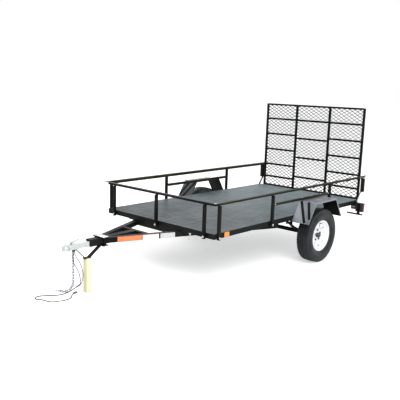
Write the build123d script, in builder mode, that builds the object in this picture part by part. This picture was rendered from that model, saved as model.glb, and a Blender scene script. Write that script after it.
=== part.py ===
"""Single-axle utility trailer with an open angle-iron bed, side rails and a mesh ramp gate.

Millimetres, +Z up. The tongue points to -X and the ramp gate stands at +X. The left side of the
trailer, seen from its own rear, is at -Y. The origin is on the floor, midway along, between the wheels.
"""
from build123d import *
from math import atan, cos, degrees, pi, radians, sin
import os

os.makedirs("parts", exist_ok=True)

# ---- Driving dimensions -------------------------------------------------------------------------
# Bed frame: angle iron with its web outside and its flange below the deck
FRAME_LENGTH = 2750.0
FRAME_HALF_WIDTH = 765.0
FRAME_DEPTH = 52.0
FRAME_FLANGE = 52.0
FRAME_WALL = 3.0
DECK_TOP = 550.0
DECK_SHEET = 18.0
CROSS_MEMBERS = 5
CROSS_MEMBER_WIDTH = 38.0

# Rails above the bed
RAIL_HEIGHT = 295.0
RAIL_LEG_ACROSS = 38.0
RAIL_LEG_DOWN = 30.0
RAIL_WALL = 3.0
RAIL_OVERHANG = 140.0
UPRIGHT_LEG = 38.0
UPRIGHT_DROP = 60.0
SIDE_UPRIGHTS = (50.0, 890.0, 2010.0)
FRONT_UPRIGHT_INSET = 115.0
FRONT_UPRIGHT_Y = FRAME_HALF_WIDTH - FRONT_UPRIGHT_INSET
MID_RAIL_HEIGHT = 150.0

# Rear posts beside the gate
POST_WIDTH = 38.0
POST_BOTTOM = 645.0
POST_STRUT_RUN = 90.0
POST_STRUT_FOOT = 522.0
POST_STRUT_WIDTH = 32.0
POST_STRUT_WALL = 6.0

# Tongue
NOSE_REACH = 1130.0
A_TUBE = 50.0
A_TUBE_WALL = 3.0
A_TUBE_ANGLE = 21.9
A_TUBE_FRONT = -640.0
A_TUBE_FRONT_Y = 57.0
A_TUBE_RUN = 1820.0
CENTRE_TUBE = 65.0
CENTRE_TUBE_WALL = 4.0
CENTRE_TUBE_FRONT = -855.0
CENTRE_TUBE_REAR = -312.0
CROSS_BAR_LEG = 40.0
CROSS_BAR_WALL = 4.0
FRONT_CROSS_TUBE = 50.0
BRACKET_REACH = 425.0
BRACKET_LENGTH = 60.0
BRACKET_THICKNESS = 6.0

# Clamp plates round the tongue, and the fixed stand that hangs from the lower one
CLAMP_FRONT = -744.0
CLAMP_LENGTH = 64.0
CLAMP_HALF_SPAN = 78.0
CLAMP_THICKNESS = 6.0
CLAMP_BOLT_Y = 66.0
CLAMP_BOLT_R = 5.0
STAND_FOOT_TOP = 333.0
STAND_FOOT_THICKNESS = 6.0
STAND_FOOT_LENGTH = 74.0
STAND_BAR_LEAN = 134.0
STAND_BAR_SECTION = 30.0
STAND_BAR_WIDTH = 28.0
STAY_REACH = 104.0
STAY_SECTION = 9.0
STAY_WIDTH = 12.0
BLOCK_SIDE = 90.0
BLOCK_CHAMFER = 2.0

# Coupler for a 50.8 mm ball
SOCKET_R = 25.9
SOCKET_DEPTH = 32.0
SOCKET_WALL = 9.0
COUPLER_WIDTH = 50.0
COUPLER_HEIGHT = 48.0
COUPLER_WALL = 4.0
COUPLER_IN_TUBE = 110.0
LEVER_PIVOT_BACK = 64.0
LEVER_PIVOT_RISE = 16.0
LEVER_PIN_R = 4.0
LEVER_EAR_R = 9.0
LEVER_EAR_WALL = 4.0
LEVER_EAR_GAP = 20.0
LEVER_THICKNESS = 5.0
LEVER_WIDTH = 18.0
LEVER_LENGTH = 78.0
LEVER_LIFT = 22.0
PIN_CLEARANCE = 0.05

# Wheels: 13 inch rims
AXLE_BACK = 1631.0
WHEEL_OUTBOARD = 107.0
WHEEL_Y = FRAME_HALF_WIDTH + WHEEL_OUTBOARD
TYRE_R = 300.0
TYRE_WIDTH = 175.0
TREAD_WIDTH = 132.0
TYRE_CROWN = 9.0
RIM_FLANGE_R = 182.5
RIM_SEAT_R = 165.0
RIM_WELL_R = 148.0
RIM_WIDTH = 120.0
RIM_WALL = 5.0
WELL_BACK = -28.0
WELL_SLOPE = 8.0
WELL_FRONT = 18.0
WELL_RAMP = 12.0
DISC_WALL = 6.0
DISC_CROWN = 34.0
DISC_SEAT_R = 76.0
CROWN_INNER_R = 100.0
CROWN_OUTER_R = 126.0
DISC_FOOT = 4.0
DISC_SKIRT = 10.0
WINDOWS = 8
WINDOW_R = 112.0
WINDOW_SIZE = 24.0
LUGS = 5
LUG_CIRCLE_R = 57.15
LUG_R = 6.0
LUG_HOLE_CLEARANCE = 1.0
LUG_NUT_R = 10.0
LUG_NUT_LENGTH = 15.0
HUB_R = 32.0
HUB_FLANGE_R = 72.0
HUB_CAP_BEVEL = 6.0
HUB_FLANGE_WALL = 8.0
HUB_INNER = 78.0
HUB_CAP_R = 26.0
HUB_CAP_LENGTH = 44.0
SPINDLE_R = 13.0
SPINDLE_LENGTH = 30.0
AXLE_R = 22.5
SEAT_CLEARANCE = 0.3

# Springs
SPRING_INBOARD = 53.0
SPRING_Y = FRAME_HALF_WIDTH - SPRING_INBOARD
SPRING_HALF_SPAN = 318.0
SPRING_EYE_HEIGHT = 455.0
SPRING_WIDTH = 45.0
LEAF = 7.0
LEAVES = 3
LEAF_BITE = 0.2
LEAF_STEP = 75.0
EYE_R = 14.0
EYE_BOLT_R = 7.0
HANGER_WALL = 4.0
HANGER_GAP = 1.0
HANGER_HALF_LENGTH = 24.0
SPRING_PAD = 6.5
CLAMP_ROD_R = 5.0

# Fenders: bent sheet
FENDER_REACH = 207.0
FENDER_OUTER = FRAME_HALF_WIDTH + FENDER_REACH
FENDER_SHEET = 3.0
FENDER_TOP_HALF = 215.0
FENDER_FOOT_HALF = 350.0
FENDER_FOOT_HEIGHT = 485.0
FENDER_LIP = 14.0

# Ramp gate
GATE_SIDE_GAP = 20.0
GATE_HALF_WIDTH = FRAME_HALF_WIDTH - GATE_SIDE_GAP
GATE_BOTTOM = 540.0
GATE_TOP = 1684.0
GATE_GAP = 42.0
GATE_DEPTH = 25.0
GATE_POST = 38.0
GATE_BAR = 25.0
GATE_RAISED = 6.0
INNER_POST_Y = 250.0
FULL_BAR_HEIGHT = 1479.0
OUTER_BAY_HEIGHTS = (672.0, 846.0, 1058.0, 1270.0)
CENTRE_BAY_HEIGHTS = (713.0, 978.0, 1237.0)
MESH_SHEET = 3.0
MESH_LONG = 184.0
MESH_SHORT = 82.0
MESH_STRAND = 10.0

# Gate hinges
HINGE_Y = 500.0
HINGE_BEHIND_GATE = 13.0
HINGE_DROP = 20.0
HINGE_EAR_R = 14.0
HINGE_EAR_WALL = 8.0
KNUCKLE_WIDTH = 30.0
HINGE_PIN_R = 8.0
HINGE_SIDE_CLEARANCE = 0.3

# Lamps
LAMP_BRACKET_SETBACK = 80.0
LAMP_BRACKET_FRONT = FRAME_LENGTH - LAMP_BRACKET_SETBACK
LAMP_BRACKET_LENGTH = 66.0
LAMP_BRACKET_REACH = 119.0
LAMP_BRACKET_OUTER = FRAME_HALF_WIDTH + LAMP_BRACKET_REACH
LAMP_BRACKET_TOP = 518.0
LAMP_BRACKET_WALL = 4.0
LAMP_LENGTH = 52.0
LAMP_WIDTH = 84.0
LAMP_HEIGHT = 80.0
LICENCE_BAR_LENGTH = 216.0
LICENCE_BAR_HEIGHT = 20.0
LICENCE_BAR_TOP = 392.0
LICENCE_HOLE_SPACING = 177.8
LICENCE_HOLE_R = 3.5
MARKER_START = 116.0
MARKER_LENGTH = 73.0
MARKER_HEIGHT = 30.0
MARKER_DEPTH = 15.0

# Safety chain
CHAIN_WIRE = 6.0
CHAIN_INNER_LENGTH = 30.0
CHAIN_INNER_WIDTH = 11.0
CHAIN_SLACK = 3.0
CHAIN_PLAY = 0.5
CHAIN_EYE_R = 4.0
CHAIN_EYE_HEAD_R = 6.5
CHAIN_BEND_SLACK = 5.2
CHAIN_HANG_BACK = 135.0
CHAIN_BEND_R = 125.0
CHAIN_FLOOR_LENGTH = 12.0
CHAIN_HEADING = 110.7
CHAIN_EYE_REACH = 14.0
HOOK_R = 13.0

# Wiring harness
LEG_DIAMETER = 5.0
TRUNK_DIAMETER = 7.0
FLOOR_CLEARANCE = 0.1
CLIP_BOTTOM = 423.0
CLIP_BACK = 91.0
CLIP_LENGTH = 34.0
CLIP_INNER_Y = -7.0
CLIP_WIDTH = 15.0
CLIP_CORNER_R = 3.0
JUNCTION = (-1831.0, 8.0, 84.0)
JUNCTION_AXIS = Vector(0, 0.83, -0.5578).normalized()
JUNCTION_LENGTH = 36.0
JUNCTION_WIDTH = 20.0
JUNCTION_DEPTH = 9.0
LEG_SPREAD = 5.5
LEG_LEAD = 40.0
TRUNK_LEAD = 30.0
PLUG_LENGTH = 36.0
PLUG_WIDTH = 24.0
PLUG_HEIGHT = 11.0

# ---- Places worked out from the driving dimensions ------------------------------------------------
OVERALL_LENGTH = NOSE_REACH + FRAME_LENGTH + RAIL_OVERHANG
FRONT = -OVERALL_LENGTH / 2 + NOSE_REACH
REAR = FRONT + FRAME_LENGTH
NOSE = FRONT - NOSE_REACH
RAIL_END = REAR + RAIL_OVERHANG
FRAME_BOTTOM = DECK_TOP - FRAME_DEPTH
DECK_BOTTOM = DECK_TOP - DECK_SHEET
WEB_INSIDE = FRAME_HALF_WIDTH - FRAME_WALL
RAIL_TOP = DECK_TOP + RAIL_HEIGHT
RAIL_OUTSIDE = FRAME_HALF_WIDTH + RAIL_LEG_ACROSS
UPRIGHT_BOTTOM = DECK_TOP - UPRIGHT_DROP
UPRIGHT_TOP = RAIL_TOP - RAIL_LEG_DOWN
MID_RAIL_BOTTOM = DECK_TOP + MID_RAIL_HEIGHT
AXLE_X = FRONT + AXLE_BACK
SIDES = {"left": -1, "right": 1}

X_AXIS = Vector(1, 0, 0)
Z_AXIS = Vector(0, 0, 1)


# ---- Shared shapes --------------------------------------------------------------------------------
def section_plane(corner, leg_a, leg_b):
    """Plane at a corner with its own x along leg_a, y along leg_b and z along the bar."""
    return Plane(origin=corner, x_dir=leg_a, z_dir=Vector(*leg_a).cross(Vector(*leg_b)))


def angle_bar(corner, leg_a, leg_b, sizes, wall, length):
    """Angle iron whose two legs leave the corner; it runs along leg_a x leg_b."""
    with BuildSketch(section_plane(corner, leg_a, leg_b)) as section:
        with BuildLine():
            size_a, size_b = sizes
            Polyline(
                (0, 0), (size_a, 0), (size_a, wall), (wall, wall), (wall, size_b), (0, size_b), close=True
            )
        make_face()
    extrude(section.sketch, amount=length)


def block(low, high, mode=Mode.ADD):
    """Rectangular bar or plate between two opposite corners."""
    sizes = [abs(b - a) for a, b in zip(low, high)]
    centre = [(a + b) / 2 for a, b in zip(low, high)]
    with Locations(tuple(centre)):
        Box(*sizes, mode=mode)


def rod(start, end, radius, mode=Mode.ADD):
    """Round bar from one point to another."""
    run = Vector(*end) - Vector(*start)
    with BuildSketch(Plane(origin=start, z_dir=run)) as section:
        Circle(radius)
    extrude(section.sketch, amount=run.length, mode=mode)


def side_profile(points, y_from, y_to, mode=Mode.ADD):
    """Closed outline in X and Z, carried across from one Y to another."""
    low, high = sorted((y_from, y_to))
    with BuildSketch(Plane(origin=(0, high, 0), x_dir=(1, 0, 0), z_dir=(0, -1, 0))) as outline:
        with BuildLine():
            Polyline(*points, close=True)
        make_face()
    extrude(outline.sketch, amount=high - low, mode=mode)


def finish_node(builder, node):
    """Labels a finished piece and writes it."""
    builder.part.label = node
    export_step(builder.part, f"parts/{node}.step")


# ---- Bed frame ------------------------------------------------------------------------------------
def mitre(x, side, outward, along):
    """Cut at a frame corner; outward keeps the piece that runs along X, along its direction."""
    normal = (along, side, 0) if outward else (-along, -side, 0)
    split(bisect_by=Plane(origin=(x, side * FRAME_HALF_WIDTH, 0), z_dir=normal), keep=Keep.TOP)


for name, side in SIDES.items():
    with BuildPart() as side_rail:
        if side < 0:
            corner = (FRONT, -FRAME_HALF_WIDTH, FRAME_BOTTOM)
            angle_bar(corner, (0, 1, 0), (0, 0, 1), (FRAME_FLANGE, FRAME_DEPTH), FRAME_WALL, FRAME_LENGTH)
        else:
            corner = (REAR, FRAME_HALF_WIDTH, FRAME_BOTTOM)
            angle_bar(corner, (0, -1, 0), (0, 0, 1), (FRAME_FLANGE, FRAME_DEPTH), FRAME_WALL, FRAME_LENGTH)
        mitre(FRONT, side, True, 1)
        mitre(REAR, side, True, -1)
    finish_node(side_rail, f"side_rail_{name}")

for node, x, inward in (("front_rail", FRONT, 1), ("rear_rail", REAR, -1)):
    with BuildPart() as end_rail:
        corner = (x, inward * FRAME_HALF_WIDTH, FRAME_BOTTOM)
        angle_bar(
            corner, (inward, 0, 0), (0, 0, 1), (FRAME_FLANGE, FRAME_DEPTH), FRAME_WALL, 2 * FRAME_HALF_WIDTH
        )
        for side in SIDES.values():
            mitre(x, side, False, inward)
    finish_node(end_rail, node)

with BuildPart() as cross_members:
    member_depth = DECK_BOTTOM - FRAME_BOTTOM - FRAME_WALL
    for index in range(CROSS_MEMBERS):
        x = FRONT + FRAME_LENGTH * (index + 1) / (CROSS_MEMBERS + 1)
        corner = (x, -WEB_INSIDE, DECK_BOTTOM)
        sizes = (CROSS_MEMBER_WIDTH, member_depth)
        angle_bar(corner, (1, 0, 0), (0, 0, -1), sizes, FRAME_WALL, 2 * WEB_INSIDE)
finish_node(cross_members, "cross_members")

with BuildPart() as deck_sheet:
    block(
        (FRONT + FRAME_WALL, -WEB_INSIDE, DECK_BOTTOM), (REAR - FRAME_WALL, WEB_INSIDE, DECK_TOP)
    )
finish_node(deck_sheet, "deck_sheet")

# ---- Tongue ---------------------------------------------------------------------------------------
TUBE_TOP = FRAME_BOTTOM
A_DIRECTION = (cos(radians(A_TUBE_ANGLE)), sin(radians(A_TUBE_ANGLE)))
CENTRE_BOTTOM = TUBE_TOP - CENTRE_TUBE
CENTRE_HALF = CENTRE_TUBE / 2


def a_tube_plane(side, offset):
    """Upright plane along an A tube, offset outward from its centre line, facing outward."""
    run = Vector(A_DIRECTION[0], side * A_DIRECTION[1], 0)
    outward = Vector(-A_DIRECTION[1], side * A_DIRECTION[0], 0)
    start = Vector(FRONT + A_TUBE_FRONT, side * A_TUBE_FRONT_Y, TUBE_TOP - A_TUBE / 2)
    return Plane(origin=start + outward * offset, x_dir=run, z_dir=outward)


def a_tube_half_width(x, offset):
    """How far from the middle an A tube's line, offset outward, passes at a given X."""
    run, across = A_DIRECTION
    ahead = x - (FRONT + A_TUBE_FRONT)
    return A_TUBE_FRONT_Y + ahead * across / run + offset / run


for name, side in SIDES.items():
    with BuildPart() as tongue_tube:
        run = Vector(A_DIRECTION[0], side * A_DIRECTION[1], 0)
        lead = 4 * A_TUBE
        start = Vector(FRONT + A_TUBE_FRONT, side * A_TUBE_FRONT_Y, TUBE_TOP - A_TUBE / 2) - run * lead
        with BuildSketch(Plane(origin=start, x_dir=(0, 0, 1), z_dir=run)):
            Rectangle(A_TUBE, A_TUBE)
            inside = A_TUBE - 2 * A_TUBE_WALL
            Rectangle(inside, inside, mode=Mode.SUBTRACT)
        extrude(amount=A_TUBE_RUN + lead)
        split(bisect_by=Plane(origin=(0, side * CENTRE_HALF, 0), z_dir=(0, side, 0)), keep=Keep.TOP)
    finish_node(tongue_tube, f"tongue_tube_{name}")

with BuildPart() as tongue_centre_tube:
    tube_start = (FRONT + CENTRE_TUBE_FRONT, 0, TUBE_TOP - CENTRE_HALF)
    with BuildSketch(Plane(origin=tube_start, x_dir=(0, 1, 0), z_dir=(1, 0, 0))):
        Rectangle(CENTRE_TUBE, CENTRE_TUBE)
        inside = CENTRE_TUBE - 2 * CENTRE_TUBE_WALL
        Rectangle(inside, inside, mode=Mode.SUBTRACT)
    extrude(amount=CENTRE_TUBE_REAR - CENTRE_TUBE_FRONT)
finish_node(tongue_centre_tube, "tongue_centre_tube")

with BuildPart() as tongue_cross_members:
    bar_x = FRONT + CENTRE_TUBE_REAR
    reach = a_tube_half_width(bar_x + CROSS_BAR_LEG, 0)
    corner = (bar_x, -reach, TUBE_TOP)
    sizes = (CROSS_BAR_LEG, CROSS_BAR_LEG)
    angle_bar(corner, (1, 0, 0), (0, 0, -1), sizes, CROSS_BAR_WALL, 2 * reach)
    reach = a_tube_half_width(FRONT + FRONT_CROSS_TUBE, 0)
    tube_centre = (FRONT + FRONT_CROSS_TUBE / 2, -reach, TUBE_TOP - A_TUBE / 2)
    with BuildSketch(Plane(origin=tube_centre, x_dir=(1, 0, 0), z_dir=(0, 1, 0))):
        Rectangle(FRONT_CROSS_TUBE, A_TUBE)
        Rectangle(FRONT_CROSS_TUBE - 2 * A_TUBE_WALL, A_TUBE - 2 * A_TUBE_WALL, mode=Mode.SUBTRACT)
    extrude(amount=2 * reach)
    for side in SIDES.values():
        inner_face = a_tube_plane(side, -A_TUBE / 2)
        split(bisect_by=inner_face, keep=Keep.BOTTOM)
finish_node(tongue_cross_members, "tongue_cross_members")

with BuildPart() as tongue_brackets:
    for side in SIDES.values():
        block(
            (FRONT, side * A_TUBE, TUBE_TOP - BRACKET_THICKNESS),
            (FRONT + BRACKET_LENGTH, side * BRACKET_REACH, TUBE_TOP),
        )
    for side in SIDES.values():
        with BuildPart(mode=Mode.PRIVATE) as inner_space:
            lead = 4 * A_TUBE
            outer_face = a_tube_plane(side, A_TUBE / 2)
            with BuildSketch(outer_face):
                Rectangle(2 * A_TUBE_RUN, 4 * A_TUBE)
            extrude(amount=-A_TUBE - 6 * CENTRE_TUBE)
        add(inner_space.part, mode=Mode.SUBTRACT)
finish_node(tongue_brackets, "tongue_brackets")

CLAMP_X = FRONT + CLAMP_FRONT
with BuildPart() as tongue_clamp:
    for low in (TUBE_TOP, CENTRE_BOTTOM - CLAMP_THICKNESS):
        block(
            (CLAMP_X, -CLAMP_HALF_SPAN, low),
            (CLAMP_X + CLAMP_LENGTH, CLAMP_HALF_SPAN, low + CLAMP_THICKNESS),
        )
    for side in SIDES.values():
        bolt = (CLAMP_X + CLAMP_LENGTH / 3, side * CLAMP_BOLT_Y)
        bolt_foot = CENTRE_BOTTOM - 2 * CLAMP_THICKNESS
        rod((*bolt, bolt_foot), (*bolt, TUBE_TOP + 2 * CLAMP_THICKNESS), CLAMP_BOLT_R)
finish_node(tongue_clamp, "tongue_clamp")

# ---- Fixed stand under the tongue -----------------------------------------------------------------
CLAMP_UNDERSIDE = CENTRE_BOTTOM - CLAMP_THICKNESS
STAND_FOOT_BOTTOM = STAND_FOOT_TOP - STAND_FOOT_THICKNESS
SHANK_BOTTOM = CENTRE_BOTTOM + CENTRE_TUBE_WALL

with BuildPart() as tongue_stand:
    bar_top = CLAMP_X + CLAMP_LENGTH / 4
    bar_foot = bar_top - STAND_BAR_LEAN
    half = STAND_BAR_WIDTH / 2
    outline = (
        (bar_top, CLAMP_UNDERSIDE), (bar_top + STAND_BAR_SECTION, CLAMP_UNDERSIDE),
        (bar_foot + STAND_BAR_SECTION, STAND_FOOT_TOP), (bar_foot, STAND_FOOT_TOP),
    )
    side_profile(outline, -half, half)
    foot_front = bar_foot - (STAND_FOOT_LENGTH - STAND_BAR_SECTION)
    block(
        (foot_front, -half - STAND_FOOT_THICKNESS, STAND_FOOT_BOTTOM),
        (foot_front + STAND_FOOT_LENGTH, half + STAND_FOOT_THICKNESS, STAND_FOOT_TOP),
    )
    stay_foot = foot_front + STAY_SECTION
    stay_top = stay_foot - STAY_REACH
    outline = (
        (stay_foot, STAND_FOOT_TOP), (stay_foot + STAY_SECTION, STAND_FOOT_TOP),
        (stay_top + STAY_SECTION, SHANK_BOTTOM), (stay_top, SHANK_BOTTOM),
    )
    side_profile(outline, -STAY_WIDTH / 2, STAY_WIDTH / 2)
finish_node(tongue_stand, "tongue_stand")

with BuildPart() as wood_block:
    block_x = foot_front + STAND_FOOT_LENGTH / 2
    block(
        (block_x - BLOCK_SIDE / 2, -BLOCK_SIDE / 2, 0),
        (block_x + BLOCK_SIDE / 2, BLOCK_SIDE / 2, STAND_FOOT_BOTTOM),
    )
    chamfer(wood_block.edges().filter_by(Axis.Z), BLOCK_CHAMFER)
finish_node(wood_block, "wood_block")

# ---- Coupler --------------------------------------------------------------------------------------
SHANK_TOP = SHANK_BOTTOM + COUPLER_HEIGHT
SOCKET_X = NOSE + SOCKET_R + SOCKET_WALL
DOME_R = SOCKET_R + SOCKET_WALL
LEVER_X = SOCKET_X + LEVER_PIVOT_BACK
LEVER_Z = SHANK_TOP + LEVER_PIVOT_RISE

SOCKET_PLANE = Plane(origin=(SOCKET_X, 0, 0), x_dir=(1, 0, 0), z_dir=(0, -1, 0))

with BuildPart() as coupler:
    shank_rear = FRONT + CENTRE_TUBE_FRONT + COUPLER_IN_TUBE
    shank_start = Plane(
        origin=(SOCKET_X, 0, SHANK_BOTTOM + COUPLER_HEIGHT / 2), x_dir=(0, 1, 0), z_dir=(1, 0, 0)
    )
    with BuildSketch(shank_start):
        Rectangle(COUPLER_WIDTH, COUPLER_HEIGHT)
    extrude(amount=shank_rear - SOCKET_X)
    with BuildSketch(SOCKET_PLANE):
        with BuildLine():
            shoulder = SHANK_BOTTOM + SOCKET_DEPTH - SOCKET_WALL
            Line((0, SHANK_BOTTOM), (DOME_R, SHANK_BOTTOM))
            Line((DOME_R, SHANK_BOTTOM), (DOME_R, shoulder))
            EllipticalCenterArc((0, shoulder), DOME_R, SHANK_TOP - shoulder, start_angle=0, arc_size=90)
            Line((0, SHANK_TOP), (0, SHANK_BOTTOM))
        make_face()
    revolve(axis=Axis((SOCKET_X, 0, 0), (0, 0, 1)))
    with BuildSketch(shank_start.offset(2 * DOME_R)):
        Rectangle(COUPLER_WIDTH - 2 * COUPLER_WALL, COUPLER_HEIGHT - 2 * COUPLER_WALL)
    extrude(amount=shank_rear - SOCKET_X, mode=Mode.SUBTRACT)
    with BuildSketch(Plane(origin=(SOCKET_X, 0, SHANK_BOTTOM))):
        Circle(SOCKET_R)
    extrude(amount=SOCKET_DEPTH, mode=Mode.SUBTRACT)
    for side in SIDES.values():
        ear_in = side * LEVER_EAR_GAP / 2
        ear_out = ear_in + side * LEVER_EAR_WALL
        block(
            (LEVER_X - LEVER_EAR_R, ear_in, SHANK_TOP), (LEVER_X + LEVER_EAR_R, ear_out, LEVER_Z)
        )
        rod((LEVER_X, ear_in, LEVER_Z), (LEVER_X, ear_out, LEVER_Z), LEVER_EAR_R)
    pin_end = LEVER_EAR_GAP / 2 + LEVER_EAR_WALL
    rod((LEVER_X, -pin_end, LEVER_Z), (LEVER_X, pin_end, LEVER_Z), LEVER_PIN_R)
finish_node(coupler, "coupler")

with BuildPart() as coupler_lever:
    half = LEVER_WIDTH / 2
    rod((LEVER_X, -half, LEVER_Z), (LEVER_X, half, LEVER_Z), LEVER_PIN_R + LEVER_THICKNESS - 1)
    tip = (LEVER_X + LEVER_LENGTH, LEVER_Z + LEVER_LIFT)
    outline = (
        (LEVER_X, LEVER_Z + LEVER_PIN_R), tip, (tip[0] + LEVER_THICKNESS, tip[1] - LEVER_THICKNESS),
        (LEVER_X + LEVER_THICKNESS, LEVER_Z - LEVER_PIN_R),
    )
    side_profile(outline, -half, half)
    rod(
        (LEVER_X, -half, LEVER_Z), (LEVER_X, half, LEVER_Z), LEVER_PIN_R + PIN_CLEARANCE, mode=Mode.SUBTRACT
    )
finish_node(coupler_lever, "coupler_lever")

# ---- Rails over the bed ---------------------------------------------------------------------------
def rail_mitre(side, along_side):
    """Cut of the top rails at a front corner of the bed."""
    normal = (1, side, 0) if along_side else (-1, -side, 0)
    corner = (FRONT - RAIL_LEG_ACROSS, side * RAIL_OUTSIDE, 0)
    split(bisect_by=Plane(origin=corner, z_dir=normal), keep=Keep.TOP)


for name, side in SIDES.items():
    with BuildPart() as top_rail:
        length = RAIL_END - FRONT + RAIL_LEG_ACROSS
        sizes = (RAIL_LEG_ACROSS, RAIL_LEG_DOWN)
        if side < 0:
            corner = (FRONT - RAIL_LEG_ACROSS, -FRAME_HALF_WIDTH, RAIL_TOP)
            angle_bar(corner, (0, -1, 0), (0, 0, -1), sizes, RAIL_WALL, length)
        else:
            corner = (RAIL_END, FRAME_HALF_WIDTH, RAIL_TOP)
            angle_bar(corner, (0, 1, 0), (0, 0, -1), sizes, RAIL_WALL, length)
        rail_mitre(side, True)
    finish_node(top_rail, f"top_rail_{name}")

with BuildPart() as top_rail_front:
    corner = (FRONT, -RAIL_OUTSIDE, RAIL_TOP)
    sizes = (RAIL_LEG_DOWN, RAIL_LEG_ACROSS)
    angle_bar(corner, (0, 0, -1), (-1, 0, 0), sizes, RAIL_WALL, 2 * RAIL_OUTSIDE)
    for side in SIDES.values():
        rail_mitre(side, False)
finish_node(top_rail_front, "top_rail_front")

with BuildPart() as rail_uprights:
    height = UPRIGHT_TOP - UPRIGHT_BOTTOM
    sizes = (UPRIGHT_LEG, UPRIGHT_LEG)
    for back in SIDE_UPRIGHTS:
        front_edge = FRONT + back - UPRIGHT_LEG / 2
        left_corner = (front_edge, -FRAME_HALF_WIDTH, UPRIGHT_TOP)
        angle_bar(left_corner, (1, 0, 0), (0, -1, 0), sizes, RAIL_WALL, height)
        right_corner = (front_edge, FRAME_HALF_WIDTH, UPRIGHT_BOTTOM)
        angle_bar(right_corner, (1, 0, 0), (0, 1, 0), sizes, RAIL_WALL, height)
    for y in (-FRONT_UPRIGHT_Y, 0, FRONT_UPRIGHT_Y):
        front_corner = (FRONT, y - UPRIGHT_LEG / 2, UPRIGHT_TOP)
        angle_bar(front_corner, (-1, 0, 0), (0, 1, 0), sizes, RAIL_WALL, height)
finish_node(rail_uprights, "rail_uprights")

with BuildPart() as mid_rails:
    start = FRONT + SIDE_UPRIGHTS[1] + UPRIGHT_LEG / 2
    stop = FRONT + SIDE_UPRIGHTS[2] - UPRIGHT_LEG / 2
    sizes = (RAIL_LEG_ACROSS, RAIL_LEG_DOWN)
    left_corner = (stop, -FRAME_HALF_WIDTH, MID_RAIL_BOTTOM)
    angle_bar(left_corner, (0, -1, 0), (0, 0, 1), sizes, RAIL_WALL, stop - start)
    right_corner = (start, FRAME_HALF_WIDTH, MID_RAIL_BOTTOM)
    angle_bar(right_corner, (0, 1, 0), (0, 0, 1), sizes, RAIL_WALL, stop - start)
finish_node(mid_rails, "mid_rails")

GATE_FRONT = REAR + GATE_GAP
GATE_REAR = GATE_FRONT + GATE_DEPTH
with BuildPart() as rear_posts:
    post_x = GATE_FRONT
    height = UPRIGHT_TOP - POST_BOTTOM
    sizes = (POST_WIDTH, POST_WIDTH)
    left_corner = (post_x, -FRAME_HALF_WIDTH, UPRIGHT_TOP)
    angle_bar(left_corner, (1, 0, 0), (0, -1, 0), sizes, RAIL_WALL, height)
    right_corner = (post_x, FRAME_HALF_WIDTH, POST_BOTTOM)
    angle_bar(right_corner, (1, 0, 0), (0, 1, 0), sizes, RAIL_WALL, height)
    strut = (
        (post_x, POST_BOTTOM), (post_x + POST_STRUT_WIDTH, POST_BOTTOM),
        (post_x + POST_STRUT_WIDTH - POST_STRUT_RUN, POST_STRUT_FOOT),
        (post_x - POST_STRUT_RUN, POST_STRUT_FOOT),
    )
    for side in SIDES.values():
        face = side * FRAME_HALF_WIDTH
        side_profile(strut, face, face + side * POST_STRUT_WALL)
finish_node(rear_posts, "rear_posts")

# ---- Fenders --------------------------------------------------------------------------------------
FENDER_TOP = MID_RAIL_BOTTOM
FENDER_LINE = (
    (AXLE_X - FENDER_FOOT_HALF, FENDER_FOOT_HEIGHT), (AXLE_X - FENDER_TOP_HALF, FENDER_TOP),
    (AXLE_X + FENDER_TOP_HALF, FENDER_TOP), (AXLE_X + FENDER_FOOT_HALF, FENDER_FOOT_HEIGHT),
)


def fender_band(depth, y_from, y_to):
    """Bent strip of sheet below the fender's outline, from one Y to another."""
    low, high = sorted((y_from, y_to))
    with BuildSketch(Plane(origin=(0, high, 0), x_dir=(1, 0, 0), z_dir=(0, -1, 0))) as strip:
        with BuildLine():
            Polyline(*FENDER_LINE)
            offset(amount=depth, kind=Kind.INTERSECTION, side=Side.RIGHT)
        make_face()
    extrude(strip.sketch, amount=high - low)


for name, side in SIDES.items():
    with BuildPart() as fender:
        outer = side * FENDER_OUTER
        fender_band(FENDER_SHEET, side * FRAME_HALF_WIDTH, outer)
        fender_band(FENDER_LIP, outer - side * FENDER_SHEET, outer)
    finish_node(fender, f"fender_{name}")

# ---- Axle and springs -----------------------------------------------------------------------------
BEAM_END = WHEEL_Y - HUB_INNER - SEAT_CLEARANCE
with BuildPart() as axle_beam:
    rod((AXLE_X, -BEAM_END, TYRE_R), (AXLE_X, BEAM_END, TYRE_R), AXLE_R)
    spindle_end = WHEEL_Y + SPINDLE_LENGTH
    rod((AXLE_X, -spindle_end, TYRE_R), (AXLE_X, spindle_end, TYRE_R), SPINDLE_R)
finish_node(axle_beam, "axle_beam")

STACK_BOTTOM = TYRE_R + AXLE_R + SPRING_PAD
MAIN_LEAF_Z = STACK_BOTTOM + LEAF * (LEAVES - 0.5)
SPRING_RISE = SPRING_EYE_HEIGHT - MAIN_LEAF_Z
SPRING_R = (SPRING_HALF_SPAN**2 + SPRING_RISE**2) / (2 * SPRING_RISE)

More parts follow.
